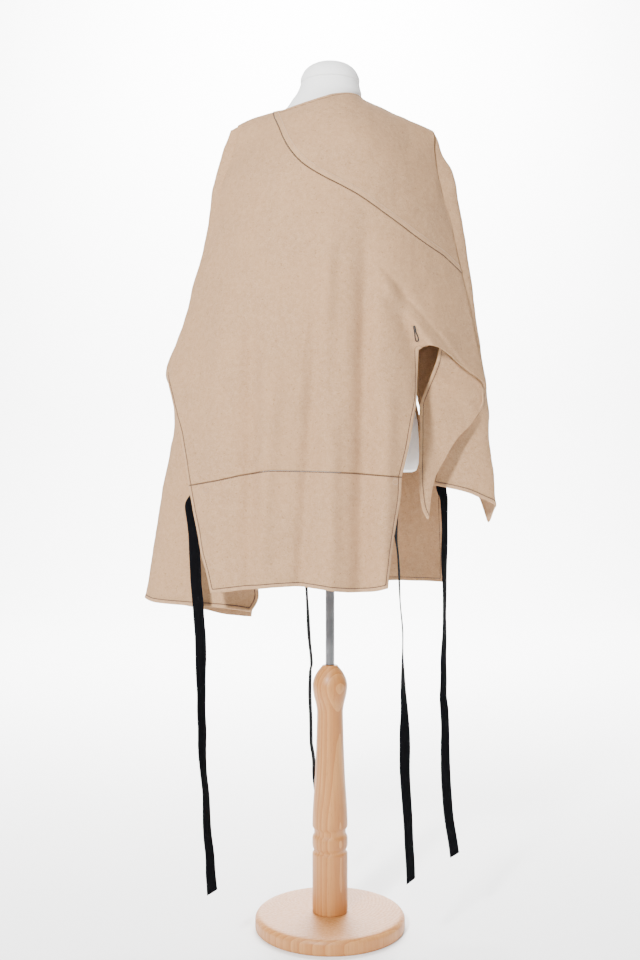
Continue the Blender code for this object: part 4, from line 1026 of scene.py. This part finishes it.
# Ribbons: flat strips, sewn behind the cloth and turning as they fall.
ribbonColumns = "z x y turn"
ribbonPaths = {
    "ribbonBackLeft": columnsOf(
        ribbonColumns,
        (0.8380, -0.2220, 0.0, 0), (0.8240, -0.2430, -0.1120, -22), (0.8040, -0.2530, -0.1080, -10),
        (0.7771, -0.2490, -0.1080, -4), (0.7412, -0.2462, -0.1100, 0), (0.7053, -0.2444, -0.1130, 0),
        (0.6586, -0.2408, -0.1160, 0), (0.6014, -0.2364, -0.1220, 4), (0.5612, -0.2330, -0.1260, 8),
        (0.5028, -0.2314, -0.1300, 29), (0.4504, -0.2308, -0.1310, 45), (0.3753, -0.2294, -0.1320, 52),
        (0.2993, -0.2246, -0.1320, 58), (0.2412, -0.2210, -0.1310, 50), (0.1831, -0.2169, -0.1300, 45),
        (0.1250, -0.2124, -0.1290, 26), (0.1107, -0.2118, -0.1290, 25)),
    "ribbonBackRight": columnsOf(
        ribbonColumns,
        (0.8440, 0.1100, 0.0, 0), (0.8200, 0.1110, -0.1480, 30), (0.7743, 0.1150, -0.1400, 55),
        (0.7156, 0.1200, -0.1360, 77), (0.6480, 0.1230, -0.1360, 80), (0.5786, 0.1280, -0.1380, 80),
        (0.4932, 0.1290, -0.1400, 66), (0.4327, 0.1310, -0.1400, 36), (0.3936, 0.1320, -0.1400, 14),
        (0.3135, 0.1330, -0.1400, 25), (0.2335, 0.1380, -0.1390, 28), (0.1339, 0.1430, -0.1380, 36)),
    "ribbonSleeve": columnsOf(
        ribbonColumns,
        (0.8560, 0.2060, 0.0, 0), (0.8360, 0.2090, -0.0250, 10), (0.8100, 0.2150, -0.0180, 40),
        (0.7500, 0.2160, -0.0150, 54), (0.6625, 0.2160, -0.0150, 56), (0.5400, 0.2150, -0.0170, 56),
        (0.4500, 0.2130, -0.0180, 50), (0.4125, 0.2160, -0.0180, 33), (0.2875, 0.2180, -0.0160, 21),
        (0.2036, 0.2260, -0.0140, 21), (0.1398, 0.2355, -0.0120, 24)),
    "ribbonFront": columnsOf(
        ribbonColumns,
        (0.8500, -0.0200, 0.0, 0), (0.8200, -0.0600, 0.1790, 0), (0.7200, -0.0540, 0.1880, 20),
        (0.6600, -0.0490, 0.1880, 55), (0.6209, -0.0467, 0.1860, 75), (0.5571, -0.0437, 0.1820, 76),
        (0.4708, -0.0365, 0.1780, 72), (0.4564, -0.0392, 0.1770, 74), (0.3105, -0.0365, 0.1730, 74),
        (0.2838, -0.0324, 0.1720, 72), (0.2448, -0.0293, 0.1720, 60), (0.1811, -0.0211, 0.1720, 48),
        (0.1500, -0.0180, 0.1720, 44)),
}
ribbonNodes = {"ribbonBackLeft": "ribbon_back_left", "ribbonBackRight": "ribbon_back_right",
               "ribbonSleeve": "ribbon_sleeve", "ribbonFront": "ribbon_front"}
ribbonCut = {"width": 0.020, "wall": 0.0006, "rows": 240, "columns": 10, "crown": 0.0006, "waver": 0.0006}


def seatRibbons():
    # The top of each path is put against the inside of its cloth and turned to lie along it.
    for name in ("ribbonBackLeft", "ribbonBackRight"):
        path = ribbonPaths[name]
        x, z = path["x"][0], path["z"][0]
        slope = backSlope(x, z, 0.005)
        path["y"][0] = backDepth(x, z) + (wall + 0.0012) * math.hypot(1, slope)
        path["turn"][0] = math.degrees(math.atan(slope))
    for name, side, across, inward in (("ribbonSleeve", "right", 0.94, wall + 0.0008),
                                       ("ribbonFront", "left", 0.075, 0.0010)):
        path = ribbonPaths[name]
        near = onFront(side, across + np.array([-0.02, 0.0, 0.02]), np.full(3, path["z"][0]))
        path["x"][0] = near[1, 0]
        path["y"][0] = near[1, 1] + inward
        path["turn"][0] = math.degrees(math.atan((near[2, 1] - near[0, 1]) / (near[2, 0] - near[0, 0])))


def makeRibbon(name, seed):
    path, half = ribbonPaths[name], ribbonCut["width"] / 2
    down = np.linspace(0, 1, ribbonCut["rows"])[:, None]
    aside = np.linspace(-1, 1, ribbonCut["columns"])[None]
    z = path["z"][0] + (path["z"][-1] - path["z"][0]) * down
    slack = ramp(0.0, 0.08, down)
    waver = ribbonCut["waver"] * slack * slowWaves(down, 3.0 + 0 * down, 0.12, seed)
    turn = np.radians(read(path, "turn", z) + 4.0 * slack * slowWaves(down, 5.0 + 0 * down, 0.20, seed + 5))
    x, y = read(path, "x", z) + waver, read(path, "y", z) + 0.6 * waver
    # The face is bowed a little across, and its cut end is slanted.
    bow = ribbonCut["crown"] * slack * (1 - aside ** 2)
    cutEnd = 0.004 * aside * ramp(0.985, 1.0, down)
    middle = np.stack([x + half * aside * np.cos(turn) + bow * np.sin(turn),
                       y + half * aside * np.sin(turn) - bow * np.cos(turn), z + cutEnd + 0 * aside], -1)
    normals = gridNormals(middle, (0, 1, 0) if path["y"][1] > 0.05 else (0, -1, 0))
    thin = ribbonCut["wall"] / 2 * (0.85 + 0.15 * ramp(0.86, 0.93, np.abs(aside)))
    offset = (thin + 0 * down)[..., None] * normals
    reach = reachAlong(middle[:, 4])
    keep = np.ones((middle.shape[0] - 1, middle.shape[1] - 1), bool)
    piece = shell(name, middle + offset, middle - offset, keep,
                  {"across": np.abs(aside) + 0 * down, "down": reach[:, None] + 0 * aside}, innerToo=True)
    return finishPiece(piece, ribbonMaterial, (ribbonNodes[name],)), float(reach[-1])


seatRibbons()
ribbonPieces = {name: makeRibbon(name, 60 + row) for row, name in enumerate(ribbonPaths)}
print("ribbons made:", {name: round(made[1], 3) for name, made in ribbonPieces.items()})


# The cord loop above the notch: two strands twisted about each other, with an eye at its lower end.
loop = {"top": (0.1491, 1.1236), "low": (0.1553, 1.0974), "eye": 0.0026, "neck": 0.0012, "strand": 0.00085,
        "apart": 0.00046, "pitch": 0.0032, "points": 260, "sides": 8, "lift": 0.0011}


def makeLoop():
    turn = np.linspace(0, 2 * math.pi, loop["points"], endpoint=False)
    start, end = np.array(loop["top"]), np.array(loop["low"])
    length = np.linalg.norm(end - start)
    way = (end - start) / length
    side = np.array([-way[1], way[0]])
    along = 0.5 - 0.5 * np.cos(turn)
    # Half width: narrow where it is sewn on, widest three quarters of the way down.
    half = (loop["neck"] + (loop["eye"] - loop["neck"]) * ramp(0.35, 0.8, along)) * np.sign(np.sin(turn))
    half *= np.clip(np.abs(np.sin(turn)) / 0.5, 0, 1) ** 0.6
    flat = start + (along * length)[:, None] * way + half[:, None] * side
    centre, _ = seatOn(backSurface, flat, loop["lift"])
    ways = np.roll(centre, -1, axis=0) - np.roll(centre, 1, axis=0)
    reach = np.linalg.norm(ways, axis=1).cumsum() / 2
    ways /= np.linalg.norm(ways, axis=1, keepdims=True)
    up = np.tile((0.0, -1.0, 0.0), (len(centre), 1))
    up -= ways * (up * ways).sum(1, keepdims=True)
    up /= np.linalg.norm(up, axis=1, keepdims=True)
    right = np.cross(ways, up)
    twists = 2 * math.pi * round(reach[-1] / loop["pitch"]) * reach / reach[-1]
    angle = roundAngles(loop["sides"])
    points, faces = [], []
    count, sides = len(centre), loop["sides"]
    for strand in (0, 1):
        phase = (twists + strand * math.pi)[:, None]
        middle = centre + loop["apart"] * (np.cos(phase) * right + np.sin(phase) * up)
        ring = middle[:, None] + loop["strand"] * (np.cos(angle)[None, :, None] * right[:, None]
                                                   + np.sin(angle)[None, :, None] * up[:, None])
        corner = np.arange(count * sides).reshape(count, sides) + strand * count * sides
        nextRow, nextSide = np.roll(corner, -1, axis=0), np.roll(corner, -1, axis=1)
        faces.append(np.stack([corner, nextRow, np.roll(nextRow, -1, axis=1), nextSide], -1).reshape(-1, 4))
        points.append(ring.reshape(-1, 3))
    return finishPiece(meshFrom("hangingLoop", np.concatenate(points), np.concatenate(faces)[:, ::-1]),
                       cordMaterial, ("hanging_loop",))


makeLoop()
print("loop made")


# The form: level sections, each two half ellipses, and the turned pieces of its stand.
formSections = columnsOf(
    "z left right front back",
    (1.6000, 0.0555, 0.0555, 0.0550, 0.0550), (1.5900, 0.0590, 0.0575, 0.0550, 0.0550),
    (1.5800, 0.0640, 0.0600, 0.0545, 0.0545), (1.5700, 0.0715, 0.0570, 0.0520, 0.0530),
    (1.5620, 0.0770, 0.0560, 0.0500, 0.0520), (1.5540, 0.0830, 0.0635, 0.0500, 0.0520),
    (1.5470, 0.0920, 0.0850, 0.0480, 0.0500), (1.5390, 0.1080, 0.1080, 0.0450, 0.0480),
    (1.5208, 0.1450, 0.1450, 0.0450, 0.0480), (1.5000, 0.1600, 0.1600, 0.0530, 0.0540),
    (1.4700, 0.1650, 0.1650, 0.0680, 0.0680), (1.4200, 0.1640, 0.1640, 0.0940, 0.0860),
    (1.3000, 0.1640, 0.1640, 0.1240, 0.0980), (1.2000, 0.1380, 0.1380, 0.1020, 0.0880),
    (1.1300, 0.1260, 0.1260, 0.0920, 0.0820), (1.0500, 0.1400, 0.1400, 0.1000, 0.0960),
    (0.9500, 0.1670, 0.1670, 0.1080, 0.1120), (0.8900, 0.1690, 0.1690, 0.1080, 0.1140),
    (0.8680, 0.1640, 0.1640, 0.1040, 0.1100), (0.8640, 0.1560, 0.1560, 0.0980, 0.1040),
)
turnedProfiles = {
    "neck_cap": ((0.0, 1.6400), (0.0100, 1.6396), (0.0200, 1.6385), (0.0350, 1.6340), (0.0460, 1.6265),
                 (0.0528, 1.6170), (0.0560, 1.6070), (0.0560, 1.6035), (0.0553, 1.6015), (0.0530, 1.6003),
                 (0.0, 1.6003)),
    "rod": ((0.0, 0.8637), (0.0080, 0.8637), (0.0085, 0.8632), (0.0085, 0.4983), (0.0080, 0.4978),
            (0.0, 0.4978)),
    "column": ((0.0, 0.4975), (0.0130, 0.4975), (0.0140, 0.4972), (0.0158, 0.4950), (0.0245, 0.4840),
               (0.0310, 0.4700), (0.0330, 0.4590), (0.0315, 0.4440), (0.0270, 0.4250), (0.0247, 0.4100),
               (0.0252, 0.3800), (0.0285, 0.2900), (0.0335, 0.1960), (0.0333, 0.1925), (0.0322, 0.1900),
               (0.0304, 0.1868), (0.0300, 0.1845), (0.0300, 0.1800), (0.0306, 0.1775), (0.0325, 0.1745),
               (0.0335, 0.1700), (0.0336, 0.1625), (0.0334, 0.1570), (0.0322, 0.1515), (0.0305, 0.1484),
               (0.0304, 0.1460), (0.0318, 0.1438), (0.0332, 0.1418), (0.0335, 0.1380), (0.0335, 0.0320),
               (0.0330, 0.0306), (0.0, 0.0303)),
    "base": ((0.0, 0.0300), (0.1180, 0.0300), (0.1280, 0.0297), (0.1350, 0.0285), (0.1400, 0.0240),
             (0.1418, 0.0200), (0.1420, 0.0160), (0.1420, 0.0060), (0.1412, 0.0018), (0.1390, 0.0),
             (0.0, 0.0)),
}
# Cuts from one profile point to the next, and rings on a flat end as shares of its radius.
turned = {"sides": 128, "cuts": 6, "faceRings": (0.2, 0.9)}
torso = {"sides": 96, "cuts": 8}


def closeRings(rings, name):
    # Rings of points joined row to row, with each end filled round its middle point.
    rows, sides = rings.shape[:2]
    corner = np.arange(rows * sides).reshape(rows, sides)
    beside = np.roll(corner, -1, axis=1)
    quads = np.stack([corner[:-1], corner[1:], beside[1:], beside[:-1]], -1).reshape(-1, 4).tolist()
    ends = np.stack([rings[0].mean(0), rings[-1].mean(0)])
    top = np.stack([np.full(sides, rows * sides), corner[0], beside[0]], -1).tolist()
    low = np.stack([np.full(sides, rows * sides + 1), beside[-1], corner[-1]], -1).tolist()
    return meshFrom(name, np.concatenate([rings.reshape(-1, 3), ends]), quads + top + low)


def makeTurned(node, material):
    # The profile's own bends are kept and rounded by a cubic through them.
    profile = np.array(turnedProfiles[node])[1:-1]
    reach = reachAlong(profile)
    share = reach / reach[-1]
    parts = [np.linspace(a, b, turned["cuts"] + 1)[:-1] for a, b in zip(share[:-1], share[1:])]
    line = smoothLine(profile, np.concatenate(parts + [[1.0]]))
    faceRings = np.array(turned["faceRings"])
    top = np.stack([line[0, 0] * faceRings, np.full(2, line[0, 1])], -1)
    low = np.stack([line[-1, 0] * faceRings[::-1], np.full(2, turnedProfiles[node][-1][1])], -1)
    line = np.concatenate([top, line, low])
    angle = roundAngles(turned["sides"])
    rings = np.stack([line[:, :1] * np.cos(angle), line[:, :1] * np.sin(angle),
                      line[:, 1:] + 0 * angle], -1)
    piece = closeRings(rings, "turned" + node.replace("_", "").capitalize())
    return finishPiece(piece, material, (node,))


def makeTorso():
    knots = formSections["z"]
    parts = [np.linspace(high, low, torso["cuts"] + 1)[:-1] for high, low in zip(knots[:-1], knots[1:])]
    z = np.concatenate(parts + [knots[-1:]])[:, None]
    angle = roundAngles(torso["sides"])[None]
    half = np.where(np.cos(angle) > 0, read(formSections, "right", z), read(formSections, "left", z))
    deep = np.where(np.sin(angle) > 0, read(formSections, "front", z), read(formSections, "back", z))
    rings = np.stack([half * np.cos(angle), deep * np.sin(angle), z + 0 * angle], -1)
    return finishPiece(closeRings(rings, "formTorso"), formMaterial, ("form_torso",))


makeTorso()
makeTurned("neck_cap", formMaterial)
makeTurned("rod", rodMaterial)
makeTurned("column", woodMaterial)
makeTurned("base", woodMaterial)
print("form and stand made")


# A pale floor that sweeps up behind: flat, then a quarter round, then upright.
sweep = {"reach": 7.0, "flat": 4.6, "round": 1.4, "height": 7.0, "cuts": 24}


def makeFloor():
    turn = np.linspace(0, math.pi / 2, sweep["cuts"])
    y = sweep["flat"] + sweep["round"] * np.sin(turn)
    y = np.concatenate([[-sweep["reach"], 0.0], y, y[-1:]])
    z = sweep["round"] - sweep["round"] * np.cos(turn)
    z = np.concatenate([[0.0, 0.0], z, [sweep["height"]]])
    x = np.array([-sweep["reach"], sweep["reach"]])
    points = np.stack([x[None] + 0 * y[:, None], y[:, None] + 0 * x, z[:, None] + 0 * x], -1)
    corner = np.arange(points.shape[0] * 2).reshape(-1, 2)
    quads = np.stack([corner[:-1, 0], corner[:-1, 1], corner[1:, 1], corner[1:, 0]], -1)
    floor = meshFrom("floor", points.reshape(-1, 3), quads)
    material, _, shader, _ = newMaterial("paleFloor", 0.9, specular=0.2)
    shader.inputs["Base Color"].default_value = (0.93, 0.93, 0.93, 1.0)
    floor.data.materials.append(material)
    return floor


def makeLight(name, place, target, size, watts):
    data = bpy.data.lights.new(name, "AREA")
    data.shape = "DISK"
    data.size = size
    data.energy = watts
    light = bpy.data.objects.new(name, data)
    light.location = place
    way = Vector(target) - Vector(place)
    light.rotation_euler = way.to_track_quat("-Z", "Y").to_euler()
    bpy.context.collection.objects.link(light)
    return light


# Place, target, size and watts: a key from behind the left shoulder, a broad fill and the backdrop's own.
lights = {
    "key": ((-1.35, -3.1, 2.7), (0, 0, 1.1), 0.45, 330),
    "fill": ((2.4, -2.4, 1.3), (0, 0, 1.0), 1.8, 30),
    "backdrop": ((0.0, 2.8, 4.6), (0, 6.0, 1.2), 4.0, 2300),
}
makeFloor()
[makeLight(name, *values) for name, values in lights.items()]
world = bpy.data.worlds.new("paleSky")
world.use_nodes = True
world.node_tree.nodes["Background"].inputs["Color"].default_value = (1.0, 1.0, 1.0, 1.0)
world.node_tree.nodes["Background"].inputs["Strength"].default_value = 0.24
bpy.context.scene.world = world
